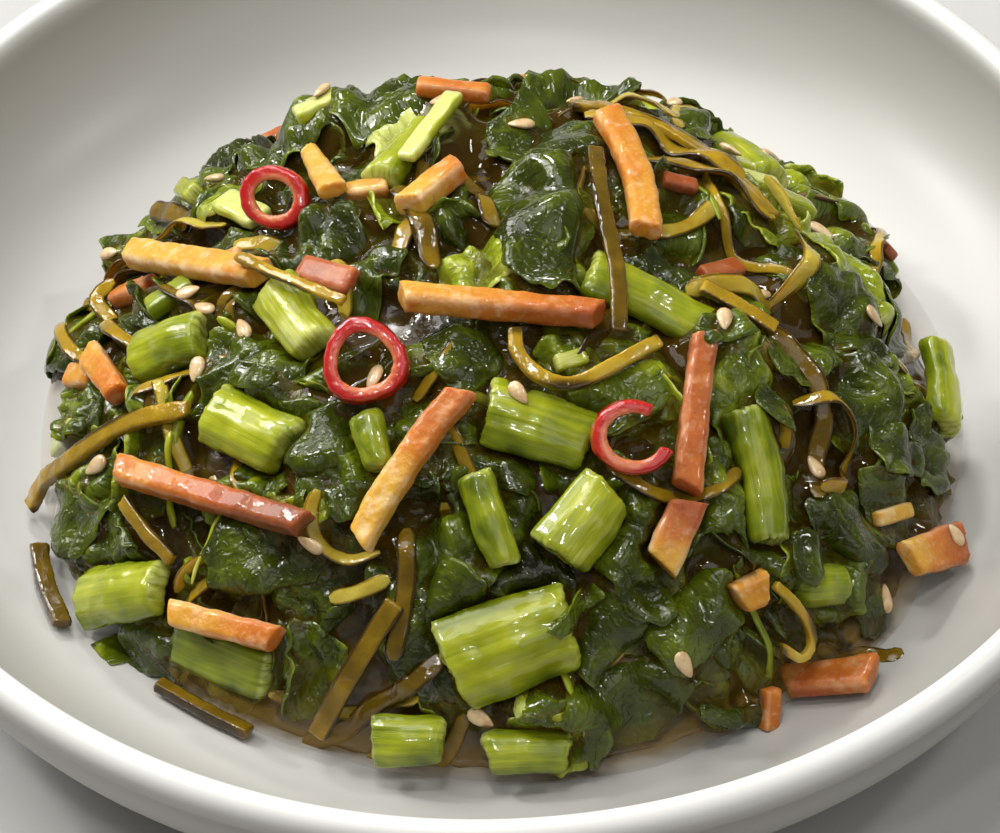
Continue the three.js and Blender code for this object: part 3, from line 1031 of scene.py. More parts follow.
@dataclass
class DishShell:
    """The porcelain dish: the CAD dish's section, turned smoothly. Millimetres."""

    dome: Dome
    lip_band: float = 3.6
    lip_underside: float = 1.4
    wall: float = 4.2
    foot_outer: float = 38.5
    foot_inner: float = 34.5
    foot_recess: float = 1.8
    foot_ease: Pair = (0.15, 0.12)  # rounding of the foot ring, across and up
    foot_flare: float = 1.6  # from the foot ring to the start of the wall
    rounding: float = 1.9
    segments: int = 216
    floor_rings: Triple = (36.0, 24.0, 12.0)

    def profile(self) -> Array:
        """Points of the section from under the middle, round the lip and back to the middle."""
        high = np.array(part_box("dish")[1]) / MM
        radius, height = high[0], high[2]
        inner, outer, band = self.foot_inner, self.foot_outer, height - self.lip_band
        ease, rise = self.foot_ease
        points = [(inner - 1.2, self.foot_recess), (inner - 0.5, self.foot_recess * 0.5), (inner, rise)]
        points += [(inner + ease, 0), (outer - ease, 0), (outer, rise), (outer + 0.8, 1.2)]
        start = outer + self.foot_flare
        for share in np.sin(np.linspace(0, math.pi / 2, 26)):
            r = start + (radius - self.lip_underside - start) * share
            under = float(self.dome.dish_height(r - self.wall * 0.55)) - self.wall
            points.append((r, min(max(under, 2.4), band - 1)))
        points += [(radius - 0.75, band - 0.6), (radius - 0.3, band - 0.1), (radius, band + 0.6)]
        crest = self.dome.lip_inner + 1
        for turn in np.linspace(0, math.pi / 2, 12):
            r, fall = crest + (radius - crest) * math.cos(turn), 1 - math.sin(turn)
            points.append((r, height - self.rounding * fall))
        points.append((self.dome.lip_inner + 0.45, height - 0.15))
        for turn in np.linspace(0.06, math.pi / 2, 40):
            r = self.dome.floor_radius + (self.dome.lip_inner - self.dome.floor_radius) * math.cos(turn)
            points.append((r, float(self.dome.dish_height(r))))
        points += [(r, self.dome.floor) for r in self.floor_rings]
        return np.array(points)

    def build(self) -> bpy.types.Object:
        """Turns the section and closes it at the middle, above and below."""
        section = self.profile()
        turns = np.linspace(0, 2 * math.pi, self.segments, endpoint=False)
        r, z = section[:, 0][:, None], section[:, 1][:, None]
        rings = np.stack([r * np.cos(turns), r * np.sin(turns), z + 0 * turns], axis=-1)
        middles = np.array([[0, 0, self.foot_recess], [0, 0, self.dome.floor]])
        faces = turned_faces(len(section), self.segments)
        batch = MeshBatch("porcelain_dish")
        batch.add(np.concatenate([rings.reshape(-1, 3), middles]), *faces)
        return finish_piece(batch.build(Porcelain().material()), "glaze", "dish")


# ---- Pieces that start from their CAD solids ----


@dataclass
class SoftCopy:
    """A CAD solid's rounded copy: points in millimetres, faces, directions out and a frame along it."""

    points: Array
    faces: Array
    out: Array
    grain: Array  # place along, across and through the piece, each -0.5 to 0.5
    axes: Array
    size: Array

    @classmethod
    def of(cls, node: str, voxel: float, rounds: int) -> "SoftCopy":
        """Remeshes a CAD node evenly and smooths it.

        Args:
            node: the CAD node.
            voxel: distance between points, in millimetres.
            rounds: how often it is smoothed.

        Returns:
            The copy.
        """
        solid = bmesh.new()
        solid.from_mesh(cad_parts[node].data)
        bmesh.ops.remove_doubles(solid, verts=solid.verts, dist=1e-6)
        mesh = bpy.data.meshes.new("copy")
        solid.to_mesh(mesh)
        solid.free()
        corners = np.array([v.co for v in mesh.vertices]) / MM
        holder = new_object("copy", mesh)
        remesh = holder.modifiers.new("even", "REMESH")
        remesh.mode = "VOXEL"
        remesh.voxel_size = voxel * MM
        ease = holder.modifiers.new("ease", "SMOOTH")
        ease.factor = 0.5
        ease.iterations = rounds
        result = applied_mesh(holder)
        points, out = np.empty((2, len(result.vertices) * 3), np.float32)
        result.vertices.foreach_get("co", points)
        result.vertex_normals.foreach_get("vector", out)
        quads = np.array([p.vertices[:] for p in result.polygons if len(p.vertices) == 4])
        bpy.data.objects.remove(holder)
        points = points.reshape(-1, 3).astype(float) / MM
        axes = cls._axes(corners)
        local = (points - corners.mean(axis=0)) @ axes.T
        low, high = local.min(axis=0), local.max(axis=0)
        return cls(points, quads, out.reshape(-1, 3), (local - low) / (high - low) - 0.5, axes, high - low)

    @staticmethod
    def _axes(corners: Array) -> Array:
        """Rows along, across and through a solid: along runs to the right or the front."""
        centred = corners - corners.mean(axis=0)
        axes = np.linalg.svd(centred, full_matrices=False)[2]
        if axes[0] @ (1.0, -0.3, 0.0) < 0:
            axes[0] = -axes[0]
        if axes[2][2] < 0:
            axes[2] = -axes[2]
        axes[1] = np.cross(axes[2], axes[0])
        return axes

    def push(self, distance: Array) -> None:
        """Moves each point out of the surface."""
        self.points = self.points + self.out * distance[:, None]


Shaper = Callable[[SoftCopy, int], dict[str, Array]]


@dataclass
class CutPieces:
    """Carrot, stalk, kelp and chilli pieces that lie where their CAD solids do."""

    carrot_tones: tuple[Pair, ...] = (
        (0.14, 0.62), (0.34, 0.26), (0.66, 0.60), (0.12, 0.80), (0.40, 0.96), (-0.1, 0.55), (0.14, 0.50),
        (0.00, 0.10), (0.02, 0.18), (-0.1, 0.42), (0.22, 0.50), (0.72, 0.52), (0.12, 0.80), (0.24, 0.24),
        (0.62, 0.70), (0.60, 0.70),
    )  # at the left and the right end of each strip
    stalk_tones: tuple[float, ...] = (
        0.62, 0.66, 0.60, 0.50, 0.78, 0.52, 0.46, 0.66, 0.50,
        0.55, 0.34, 0.44, 0.38, 0.36, 0.48, 0.62, 0.70, 0.56,
    )
    kelp_tones: tuple[float, ...] = (0.26, 0.66, 0.40, 0.54, 0.24, 0.40, 0.58, 0.50, 0.66, 0.62, 0.70)

    def build(self) -> list[SoftCopy]:
        """Makes all four kinds, and returns the copies that they are made of."""
        return [
            *self._kind("carrot_sticks", "carrot_strip", "carrot", (0.27, 3), self._carrot, Carrot()),
            *self._kind("leaf_stalks", "stem", "stem", (0.29, 17), self._stalk, Stalk()),
            *self._kind("kelp_ribbons", "kelp_strip", "kelp", (0.24, 5), self._kelp, Kelp()),
            *self._kind("chilli_slices", "chilli_ring", "chilli", (0.2, 4), self._chilli, Chilli()),
        ]

    @staticmethod
    def _kind(
        name: str, kind: str, slot: str, grid: tuple[float, int], shape: Shaper, finish: Finish
    ) -> list[SoftCopy]:
        """Makes one object from all CAD solids of a kind.

        Args:
            name: the object's name.
            kind: how the names of its CAD nodes start.
            slot: passed on to finish_piece, which does not use it.
            grid: distance between points, in millimetres, and rounds of smoothing.
            shape: works on the copy with that number and gives the attributes of its points.
            finish: what it is made of.

        Returns:
            The copies.
        """
        batch, copies = MeshBatch(name), []
        for number, node in enumerate(nodes_of(kind)):
            copy = SoftCopy.of(node, *grid)
            values = shape(copy, number)
            batch.add(copy.points, copy.faces, **values)
            copies.append(copy)
        finish_piece(batch.build(finish.material()), slot, *nodes_of(kind))
        return copies

    def _carrot(self, copy: SoftCopy, number: int) -> dict[str, Array]:
        """A carrot strip, uneven, with a tone that changes from its left to its right end."""
        left, right = self.carrot_tones[number]
        bulges = 0.16 * Noise.at(copy.points, 2.8, number)
        copy.push(bulges + 0.06 * Noise.at(copy.points, 0.9, number + 50))
        tone = left + (right - left) * smooth_step(copy.grain[:, 0], -0.45, 0.45)
        return {"tone": tone, "grain": copy.grain}

    def _stalk(self, copy: SoftCopy, number: int) -> dict[str, Array]:
        """A leaf stalk with frayed ends and fine ribs.

        Args:
            copy: the stalk, which is worked on.
            number: which stalk it is.

        Returns:
            Its tone and its grain.
        """
        seed = 100 + number
        across, out = copy.grain[:, 1] * copy.size[1], copy.grain[:, 2] * copy.size[2]
        fibres = np.stack([across / 0.8, out / 1.6], axis=-1)
        end = np.sign(copy.grain[:, 0]) * smooth_step(np.abs(copy.grain[:, 0]), 0.34, 0.5)
        fray = end * (0.3 * Noise.at(fibres, 2.6, seed) + 0.2 * Noise.at(fibres, 0.8, seed + 60))
        copy.points = copy.points + fray[:, None] * copy.axes[0]
        ribs = 0.06 * Noise.at(fibres, 1.6, seed + 30) + 0.28
        bulges = 0.34 * Noise.at(copy.points, 4.4, seed)
        copy.push(ribs + bulges + 0.08 * Noise.at(copy.points, 1.7, seed + 80))
        return {"tone": np.full(len(copy.points), self.stalk_tones[number]), "grain": copy.grain}

    def _kelp(self, copy: SoftCopy, number: int) -> dict[str, Array]:
        """A kelp strip whose points know how near they are to its edges."""
        copy.push(0.12 * Noise.at(copy.points, 1.9, 200 + number))
        tone = np.full(len(copy.points), self.kelp_tones[number])
        return {"tone": tone, "edge": 2 * np.abs(copy.grain[:, 1])}

    def _chilli(self, copy: SoftCopy, number: int) -> dict[str, Array]:
        """A chilli ring whose points know how near they are to the skin."""
        copy.push(0.22 + 0.12 * Noise.at(copy.points, 1.8, 300 + number))
        reach = np.hypot(copy.grain[:, 0] * copy.size[0], copy.grain[:, 1] * copy.size[1])
        return {"rim": reach / reach.max()}


class Locator:
    """Finds the chart place and the height over the mound of points in space."""

    def __init__(self, pile: Pile) -> None:
        """Indexes the mound's surface."""
        self.a, self.b = pile.a[::2, ::2].ravel(), pile.b[::2, ::2].ravel()
        self.spots, self.out = pile.dome.surface(self.a, self.b)
        self.tree = KDTree(len(self.spots))
        for i, spot in enumerate(self.spots):
            self.tree.insert(spot, i)
        self.tree.balance()

    def find(self, points: Array) -> tuple[Array, Array, Array]:
        """Chart places a and b, and heights, of points in millimetres."""
        near = np.array([self.tree.find(p)[1] for p in points])
        h = ((points - self.spots[near]) * self.out[near]).sum(axis=-1)
        return self.a[near], self.b[near], h


# ---- Leaves ----


class Relief(Enum):
    """How a leaf's sheet is crumpled."""

    SMOOTH = "smooth"
    PUCKERED = "puckered"
    CRINKLED = "crinkled"

    def height(self, places: Array, seed: int) -> Array:
        """Height of the crumpled sheet at flat places, in millimetres."""
        broad, middle, fine = (Noise.at(places, size, seed + k) for k, size in enumerate((8.0, 3.8, 1.7)))
        if self is Relief.SMOOTH:
            return 1.3 * broad + 0.3 * middle
        if self is Relief.PUCKERED:
            return 0.9 * broad + 2.0 * np.sqrt(middle**2 + 0.008) + 0.15 * np.abs(fine)
        return 1.1 * broad + 1.8 * (1 - np.sqrt(middle**2 + 0.003)) ** 2 + 0.3 * (1 - np.abs(fine)) ** 2


SMOOTH, PUCKERED, CRINKLED = Relief


@dataclass(frozen=True)
class Fold:
    """A bend of a sheet past a straight line. Millimetres and degrees."""

    side: float  # distance of the line from the sheet's middle
    direction: float  # which way the bent part lies
    radius: float
    turn: float  # up, or down if negative

    def apply(self, points: Array) -> Array:
        """Bends a sheet.

        Args:
            points: the sheet's points.

        Returns:
            The points, with those past the line bent up or down.
        """
        heading, turn = math.radians(self.direction), abs(math.radians(self.turn))
        sign = math.copysign(1, self.turn)
        ahead = np.array([math.cos(heading), math.sin(heading)])
        past = points[..., :2] @ ahead - self.side
        theta = np.clip(past, 0, self.radius * turn) / self.radius
        beyond = np.maximum(past - self.radius * turn, 0)
        sin, cos, level = np.sin(theta), np.cos(theta), points[..., 2]
        along = self.radius * sin + beyond * math.cos(turn) - sign * level * sin
        up = sign * (self.radius * (1 - cos) + beyond * math.sin(turn)) + level * cos
        bent = points.copy()
        bent[..., :2] += (along - past)[..., None] * ahead
        bent[..., 2] = up
        return np.where((past > 0)[..., None], bent, points)


@dataclass(frozen=True)
class LeafCut:
    """One cut or torn piece of leaf. Its place and heading are in plan, in millimetres and degrees."""

    place: Pair
    heading: float
    length: float
    width: float
    relief: Relief
    tone: float
    folds: tuple[Fold, ...] = ()
    rise: float = 0.0
    point: float = 0.0
    free: bool = False  # lies on top of everything

    def sheet(self, step: float, seed: int) -> tuple[Array, Array, Array]:
        """The cut, crumpled and folded sheet.

        Args:
            step: distance between points.
            seed: which raggedness and relief it gets.

        Returns:
            Its points, the flat places they come from, and its relief from 0 to 1.
        """
        rows, columns = (max(int(size / step), 9) for size in (self.length, self.width))
        u, v = np.meshgrid(np.linspace(-1, 1, rows), np.linspace(-1, 1, columns), indexing="ij")
        x = u * np.sqrt(1 - 0.3 * v * v) * self.length / 2
        y = v * np.sqrt(1 - 0.3 * u * u) * self.width / 2 * (1 - self.point * smooth_step(u, -0.3, 1.05))
        flat = np.stack([x, y], axis=-1)
        ragged = Noise.at(flat, 3.4, seed + 7) + 0.5 * Noise.at(flat, 1.7, seed + 8)
        flat = flat * (1 + 0.2 * ragged * np.maximum(abs(u), abs(v)) ** 3)[..., None]
        relief = self.relief.height(flat, seed)
        relief = relief - relief.min()
        points = np.concatenate([flat, relief[..., None]], axis=-1)
        for fold in self.folds:
            points = fold.apply(points)
        return points, flat, relief / max(relief.max(), 1e-6)


def leaf_cuts(*rows: tuple, free: bool = False) -> tuple[LeafCut, ...]:
    """Leaf pieces from rows of numbers.

    Args:
        rows: x and y of the place, heading, length, width, relief, tone, rise, how pointed, and any folds.
        free: whether they lie on top of everything.

    Returns:
        The pieces, in the same order.
    """
    cuts = []
    for x, y, heading, length, width, relief, tone, rise, point, *bends in rows:
        folds = tuple(Fold(*bend) for bend in bends)
        cuts.append(LeafCut((x, y), heading, length, width, relief, tone, folds, rise, point, free))
    return tuple(cuts)


@dataclass
class Leaves(Layer):
    """The leaf pieces: some by name, many strewn, each laid on what is already there."""

    step: float = 0.45
    thickness: float = 0.4
    edge: float = 0.3  # share of the thickness at the edge
    # painted light: the thin edge of each leaf is painted lighter by this much
    edge_tone: float = 0.22  # how much lighter the edge gets with it
    folded: float = 0.7  # share of strewn leaves with a fold along them, and with one across
    tones: Pair = (0.4, 0.14)  # mean and spread
    full: int = 185000  # triangles, after which a new object starts

    def __post_init__(self) -> None:
        """Starts without any leaves."""
        self.batches: list[MeshBatch] = []
        self.seed = 1000

    def _batch(self) -> MeshBatch:
        """The batch that still has room."""
        if not self.batches or self.batches[-1].triangles > self.full:
            self.batches.append(MeshBatch(f"leaf_pieces_{'abcdef'[len(self.batches)]}"))
        return self.batches[-1]

    def lay(self, leaf: LeafCut) -> None:
        """Lays one leaf on what is already there, and heaps the pile up by it.

        Args:
            leaf: the leaf.
        """
        self.seed += 10
        points, flat, relief = leaf.sheet(self.step, self.seed)
        a, b = self.dome.chart(*leaf.place)
        turn = math.radians(self.dome.heading(*leaf.place, leaf.heading))
        cos, sin = math.cos(turn), math.sin(turn)
        x, y, z = np.moveaxis(points, -1, 0)
        a, b = a + x * cos - y * sin, b + x * sin + y * cos
        z = z - np.percentile(z, 8)
        base = self.pile.rest(a, b, float(np.percentile(z, 88)) - leaf.rise, free=leaf.free)
        places = np.stack([a, b, base + z], axis=-1)
        edge = np.ones(z.shape)
        edge[[0, -1]] = edge[:, [0, -1]] = self.edge
        half = grid_normals(places) * (self.thickness / 2 * edge)[..., None]
        upper, lower = (self.dome.lift(*np.moveaxis(places + way * half, -1, 0)) for way in (1, -1))
        body, faces = closed_sheet(upper, lower)
        sheet = np.concatenate([flat, np.full((*z.shape, 1), self.seed * 1.7)], axis=-1).reshape(-1, 3)
        # The tone carries painted light: the thin edge is painted lighter.
        self._batch().add(
            body,
            faces,
            tone=np.tile((leaf.tone + self.edge_tone * (1 - edge)).ravel(), 2),
            relief=np.tile(relief.ravel(), 2),
            sheet=np.tile(sheet, (2, 1)),
        )
        self.pile.drop(a, b, places[..., 2] + self.thickness / 2)

    def strew(self, count: int, reach: float, rng: np.random.Generator, sizes: Pair) -> None:
        """Lays leaves evenly spread over the mound, in a mixed order.

        Args:
            count: how many.
            reach: how far from the top they go, along the surface.
            rng: the random numbers.
            sizes: shortest and longest.
        """
        reliefs = tuple(Relief)
        for i in rng.permutation(count):
            far = reach * math.sqrt((i + rng.uniform(0.1, 0.9)) / count)
            spot = self.dome.spot(far, i * GOLDEN_TURN + rng.uniform(-0.3, 0.3))
            length = rng.uniform(*sizes)
            width = length * rng.uniform(0.6, 0.95)
            folds = []
            if rng.random() < self.folded:
                side = rng.choice((90, -90)) + rng.uniform(-25, 25)
                start, radius = width * rng.uniform(0.0, 0.3), rng.uniform(0.6, 1.3)
                folds.append(Fold(start, side, radius, rng.uniform(60, 170)))
            if rng.random() < self.folded:
                way = rng.choice((0, 180)) + rng.uniform(-30, 30)
                start, radius = length * rng.uniform(0.1, 0.3), rng.uniform(0.8, 2.0)
                folds.append(Fold(start, way, radius, -rng.uniform(40, 100)))
            heading, relief = rng.uniform(0, 360), reliefs[rng.choice(3, p=(0.4, 0.3, 0.3))]
            tone = float(np.clip(rng.normal(*self.tones), 0.1, 0.85))
            self.lay(LeafCut(spot, heading, length, width, relief, tone, tuple(folds)))

    def build(self) -> None:
        """Makes the objects."""
        material = Leaf().material()
        for batch in self.batches:
            finish_piece(batch.build(material), "greens")


# ---- Strands, sticks and seeds ----


@dataclass(frozen=True)
class Strand:
    """A ribbon or thin stem along a plan path, in millimetres."""

    path: tuple[Pair, ...]
    width: float
    tone: float
    rise: float = 0.0
    roll: float = 0.0  # degrees about its length
    wave: float = 0.5


def smooth_path(corners: Array, step: float) -> Array:
    """A smooth curve through corners.

    Args:
        corners: the corners, one per row.
        step: distance between the curve's points.

    Returns:
        Evenly spaced points on the curve.
    """
    ends = np.concatenate([[2 * corners[0] - corners[1]], corners, [2 * corners[-1] - corners[-2]]])
    parts = []
    for i in range(1, len(ends) - 2):
        p, q, r, s = ends[i - 1 : i + 3]
        t = np.linspace(0, 1, 24, endpoint=False)[:, None]
        square, cube = 2 * p - 5 * q + 4 * r - s, 3 * q - p - 3 * r + s
        parts.append(0.5 * (2 * q + (r - p) * t + square * t**2 + cube * t**3))
    curve = np.concatenate([*parts, corners[-1:]])
    run = np.concatenate([[0], np.cumsum(np.linalg.norm(np.diff(curve, axis=0), axis=1))])
    stops = np.linspace(0, run[-1], max(int(run[-1] / step), 3) + 1)
    return np.stack([np.interp(stops, run, curve[:, k]) for k in range(curve.shape[1])], axis=-1)


@dataclass
class Strands(Layer):
    """Ribbons laid over the pile; a Geometry Nodes tree sweeps them."""

    flat: float  # thickness over width
    step: float = 0.7
    stride: float = 3.0  # from corner to corner of a strewn strand
    bend: float = 0.32  # spread of how much it turns from corner to corner, in radians
    wander: float = 0.18  # how much that varies along it
    twist: float = 1.1  # radians for each millimetre of sway
    roughness: float = 0.12

    def __post_init__(self) -> None:
        """Starts without any strands."""
        self.lines = Lines()
        self.seed = 5000

    def lay(self, strand: Strand) -> None:
        """Lays one strand on what is already there, and heaps the pile up by it.

        Args:
            strand: the strand.
        """
        self.seed += 1
        chart = smooth_path(np.array([self.dome.chart(x, y) for x, y in strand.path]), self.step)
        a, b = chart[:, 0], chart[:, 1]
        thick, run_length = strand.width * self.flat, np.arange(len(a)) * self.step
        sway = strand.wave * Noise.at(np.stack([run_length, 0 * a], axis=-1), 5, self.seed)
        run = np.gradient(chart, axis=0)
        side = np.stack([-run[:, 1], run[:, 0]], axis=-1) / np.linalg.norm(run, axis=1, keepdims=True)
        base = self.pile.rest(a, b, thick - strand.rise, 3)
        h = base + thick * 0.5 + strand.rise * 0.6 + np.maximum(sway, 0)
        h = np.convolve(np.pad(h, 2, "edge"), np.ones(5) / 5, "valid")
        points = self.dome.lift(a, b, h)
        _, out = self.dome.surface(a, b)
        along = np.gradient(points, axis=0)
        along /= np.linalg.norm(along, axis=1, keepdims=True)
        across = np.cross(out, along)
        twist = np.radians(strand.roll) + self.twist * sway
        up = out * np.cos(twist)[:, None] + across * np.sin(twist)[:, None]
        ends = smooth_step(np.minimum(np.arange(len(a)), np.arange(len(a))[::-1]), -1.5, 1.5)
        swell = Noise.at(np.stack([0 * a, run_length], axis=-1), 4, self.seed)
        wide = strand.width * (0.9 + 0.12 * swell)
        self.lines.add(points, up=up, girth=wide * ends, tone=strand.tone + 0.12 * sway)
        half = strand.width * 0.4 * abs(np.cos(twist))
        for way in (-1, -0.4, 0.4, 1):
            spot = chart + side * (way * half)[:, None]
            self.pile.drop(spot[:, 0], spot[:, 1], h + thick * 0.5)

    def strew(
        self, count: int, reach: float, rng: np.random.Generator, lengths: Pair, **ranges: tuple
    ) -> None:
        """Lays winding strands spread over the mound.

        Args:
            count: how many.
            reach: how far from the top they start.
            rng: the random numbers.
            lengths: shortest and longest.
            ranges: lowest and highest width and tone.
        """
        for i in range(count):
            far = reach * math.sqrt((i + rng.uniform(0, 1)) / count)
            path = [np.array(self.dome.spot(far, i * GOLDEN_TURN + rng.uniform(-0.4, 0.4)))]
            heading, bend = rng.uniform(0, 2 * math.pi), rng.normal(0, self.bend)
            for _ in range(max(int(rng.uniform(*lengths) / self.stride), 2)):
                path.append(path[-1] + self.stride * np.array([math.cos(heading), math.sin(heading)]))
                heading += bend + rng.normal(0, self.wander)
            middle = np.array(self.dome.centre)
            for k, spot in enumerate(path):
                past = np.linalg.norm((spot - middle) / self.dome.radii) / 0.96
                path[k] = middle + (spot - middle) / max(past, 1)
            wide, tone = (rng.uniform(*ranges[key]) for key in ("width", "tone"))
            roll, wave = rng.uniform(-60, 60), rng.uniform(0.2, 0.9)
            self.lay(Strand(tuple(map(tuple, path)), wide, tone, 0.2, roll, wave))

    def build(self, name: str, slot: str, material: bpy.types.Material) -> bpy.types.Object:
        """Sweeps a flat round section along all strands.

        Args:
            name: the object's name.
            slot: passed on to finish_piece, which does not use it.
            material: its material.

        Returns:
            The object.
        """
        recipe = Recipe(name)
        finish = recipe.ask("Material", "NodeSocketMaterial")
        flat = recipe.ask("Flat", "NodeSocketFloat", self.flat)
        curve = recipe.value("GeometryNodeMeshToCurve", {"Mesh": recipe.source})
        free = {"Curve": curve, "Normal": recipe.stored("up")}
        curve = recipe.value("GeometryNodeSetCurveNormal", free, mode="FREE")
        ring = {"Resolution": 12, "Radius": 0.5 * MM}
        circle = recipe.value("GeometryNodeCurvePrimitiveCircle", ring, mode="RADIUS")
        _, across, _ = recipe.parts(recipe.position())
        shape = {"Geometry": recipe.keep(circle, "edge", abs(across) * (2 / MM), "FLOAT")}
        shape["Scale"] = recipe.vector(flat, 1.0, 1.0)
        section = recipe.value("GeometryNodeTransform", shape)
        sweep = {"Curve": curve, "Profile Curve": section, "Fill Caps": True}
        sweep["Scale"] = recipe.stored("girth", "FLOAT")
        body = recipe.value("GeometryNodeCurveToMesh", sweep)
        recipe.end(recipe.roughen(body, 1.6, recipe.ask("Roughness", "NodeSocketFloat", 0.0001)), finish)
        given = {"Material": material, "Flat": self.flat, "Roughness": self.roughness * MM}
        return finish_piece(recipe.apply(name, self.lines.mesh(name), given), slot)


@dataclass(frozen=True)
class Stick:
    """A short cut piece at a plan place. Millimetres and degrees."""

    place: Pair
    heading: float
    size: Triple
    tone: float
    roll: float = 0.0
    tip: float = 0.0  # how far its far end points up
    rise: float = 0.0
    free: bool = False  # lies on top of everything


class Shape(Enum):
    """What is put at each point."""

    BLOCK = "block"
    SEED = "seed"


@dataclass
class Bits(Layer):
    """Short pieces put at points; a Geometry Nodes tree places, rounds and roughens them."""

    def __post_init__(self) -> None:
        """Starts without any pieces."""
        self.dots = Lines()

    def lay(self, stick: Stick, sunk: float = 0.35) -> None:
        """Lays one piece on the pile, following its slope, and heaps the pile up by it.

        Args:
            stick: the piece.
            sunk: the share of its thickness that goes into what is under it.
        """
        a, b = self.dome.chart(*stick.place)
        turn = math.radians(self.dome.heading(*stick.place, stick.heading))
        long, wide, high = stick.size
        lengthwise, crosswise = np.linspace(-0.5, 0.5, 9) * long, np.linspace(-0.5, 0.5, 5) * wide
        u, v = np.meshgrid(lengthwise, crosswise, indexing="ij")
        at = a + u * math.cos(turn) - v * math.sin(turn), b + u * math.sin(turn) + v * math.cos(turn)
        h = self.pile.rest(*at, high * (1 - sunk) - stick.rise, 2, stick.free) + stick.rise
        corners = self.dome.lift(*at, h)
        along = corners[-1].mean(axis=0) - corners[0].mean(axis=0)
        across = corners[:, -1].mean(axis=0) - corners[:, 0].mean(axis=0)
        _, out = self.dome.surface(np.array([a]), np.array([b]))
        out = 0.5 * out[0] + 0.5 * np.cross(along, across) / np.linalg.norm(np.cross(along, across))
        along -= out * (along @ out) / (out @ out)
        frame_rows = np.stack([along / np.linalg.norm(along), np.zeros(3), out / np.linalg.norm(out)])
        frame_rows[1] = np.cross(frame_rows[2], frame_rows[0])
        middle = corners.mean(axis=(0, 1)) + frame_rows[2] * high * (0.5 - sunk)
        tipped = Matrix(frame_rows.T.tolist()) @ Matrix.Rotation(-math.radians(stick.tip), 3, "Y")
        tipped = tipped @ Matrix.Rotation(math.radians(stick.roll), 3, "X")
        turns, sizes = np.array([tipped.to_euler()]), np.array([stick.size]) * MM
        self.dots.add(middle[None], turn=turns, size=sizes, tone=np.array([stick.tone]))
        self.pile.drop(*at, h + high * (1 - sunk) * 0.9)

    def build(
        self, name: str, slot: str, material: bpy.types.Material, shape: Shape, rough: float
    ) -> bpy.types.Object:
        """Puts a shape at every point, in its own size and direction.

        Args:
            name: the object's name.
            slot: passed on to finish_piece, which does not use it.
            material: its material.
            shape: what is put there.
            rough: depth of its roughness, in millimetres.

        Returns:
            The object.
        """
        recipe = Recipe(name)
        finish = recipe.ask("Material", "NodeSocketMaterial")
        depth = recipe.ask("Roughness", "NodeSocketFloat", 0.0001)
        if shape is Shape.BLOCK:
            cube = {"Size": (1.0, 1.0, 1.0), "Vertices X": 8, "Vertices Y": 4, "Vertices Z": 3}
            block = recipe.value("GeometryNodeMeshCube", cube)
            block = recipe.value("GeometryNodeSubdivisionSurface", {"Mesh": block, "Level": 1})
        else:
            ball = {"Segments": 14, "Rings": 10, "Radius": 0.5}
            block = recipe.value("GeometryNodeMeshUVSphere", ball)
            x, y, z = recipe.parts(recipe.position())
            narrow = 0.82 - x * 0.62
            drop = {"Geometry": block, "Position": recipe.vector(x, y * narrow, z * narrow)}
            block = recipe.value("GeometryNodeSetPosition", drop)
        block = recipe.keep(block, "grain", recipe.position())
        spread = {"Points": recipe.source, "Instance": block}
        spread["Rotation"] = recipe.stored("turn")
        spread["Scale"] = recipe.stored("size")
        pieces = recipe.value("GeometryNodeInstanceOnPoints", spread)
        real = recipe.value("GeometryNodeRealizeInstances", {"Geometry": pieces})
        recipe.end(recipe.roughen(real, 2.2, depth), finish)
        given = {"Material": material, "Roughness": rough * MM}
        return finish_piece(recipe.apply(name, self.dots.mesh(name), given), slot)


# ---- The core, painted dark as shade, and the juice ----


def dome_skin(
    dome: Dome,
    reach: Array,
    rings: int,
    height: Callable[[Array, Array, Array], Array],
    bottom: float,
) -> tuple[Array, Arrays, Arrays]:
    """A closed body over the mound: a skin from the top to a reach, and a flat fan under it.

    Args:
        dome: the mound.
        reach: how far the skin goes on the chart, for each direction.
        rings: how many rings of points.
        height: gives the skin's height over the mound from a, b and the share of the reach.
        bottom: level of the point that closes it below, in millimetres.

    Returns:
        The points, the ring quads with the closing triangles, and the chart places of the rings.
    """
    segments = len(reach)
    turns = np.linspace(0, 2 * math.pi, segments, endpoint=False)
    share = (np.arange(1, rings + 1) / rings)[:, None]
    a, b = share * reach * np.cos(turns), share * reach * np.sin(turns)
    skin = dome.lift(a, b, height(a, b, share + 0 * a))
    top = dome.lift(np.zeros(1), np.zeros(1), height(np.zeros(1), np.zeros(1), np.zeros(1)))
    middles = np.array([top[0], [*dome.centre, bottom]])
    sides, ends = turned_faces(rings, segments)
    points = np.concatenate([skin.reshape(-1, 3), middles])
    return points, (sides[:, [0, 3, 2, 1]], ends[:, [0, 2, 1]]), (a, b)


@dataclass
class HeapCore(Layer):
    """The body inside the heap, which stands for the CAD heap, painted dark as painted shade."""

    segments: int = 240
    rings: int = 72
    inset: float = 0.5  # from the mound's foot

    def build(self) -> bpy.types.Object:
        """Makes the core from the pile as it is now."""
        dome, base = self.dome, self.pile.top.copy()
        reach = np.full(self.segments, dome.reach - self.inset)

        def height(a: Array, b: Array, _: Array) -> Array:
            """Level of the bare pile."""
            return self.pile.sample(base, a, b)

        points, faces, _ = dome_skin(dome, reach, self.rings, height, dome.floor + 0.2)
        batch = MeshBatch("heap_core")
        batch.add(points, *faces)
        return finish_piece(batch.build(Core().material()), "greens", "greens_heap")


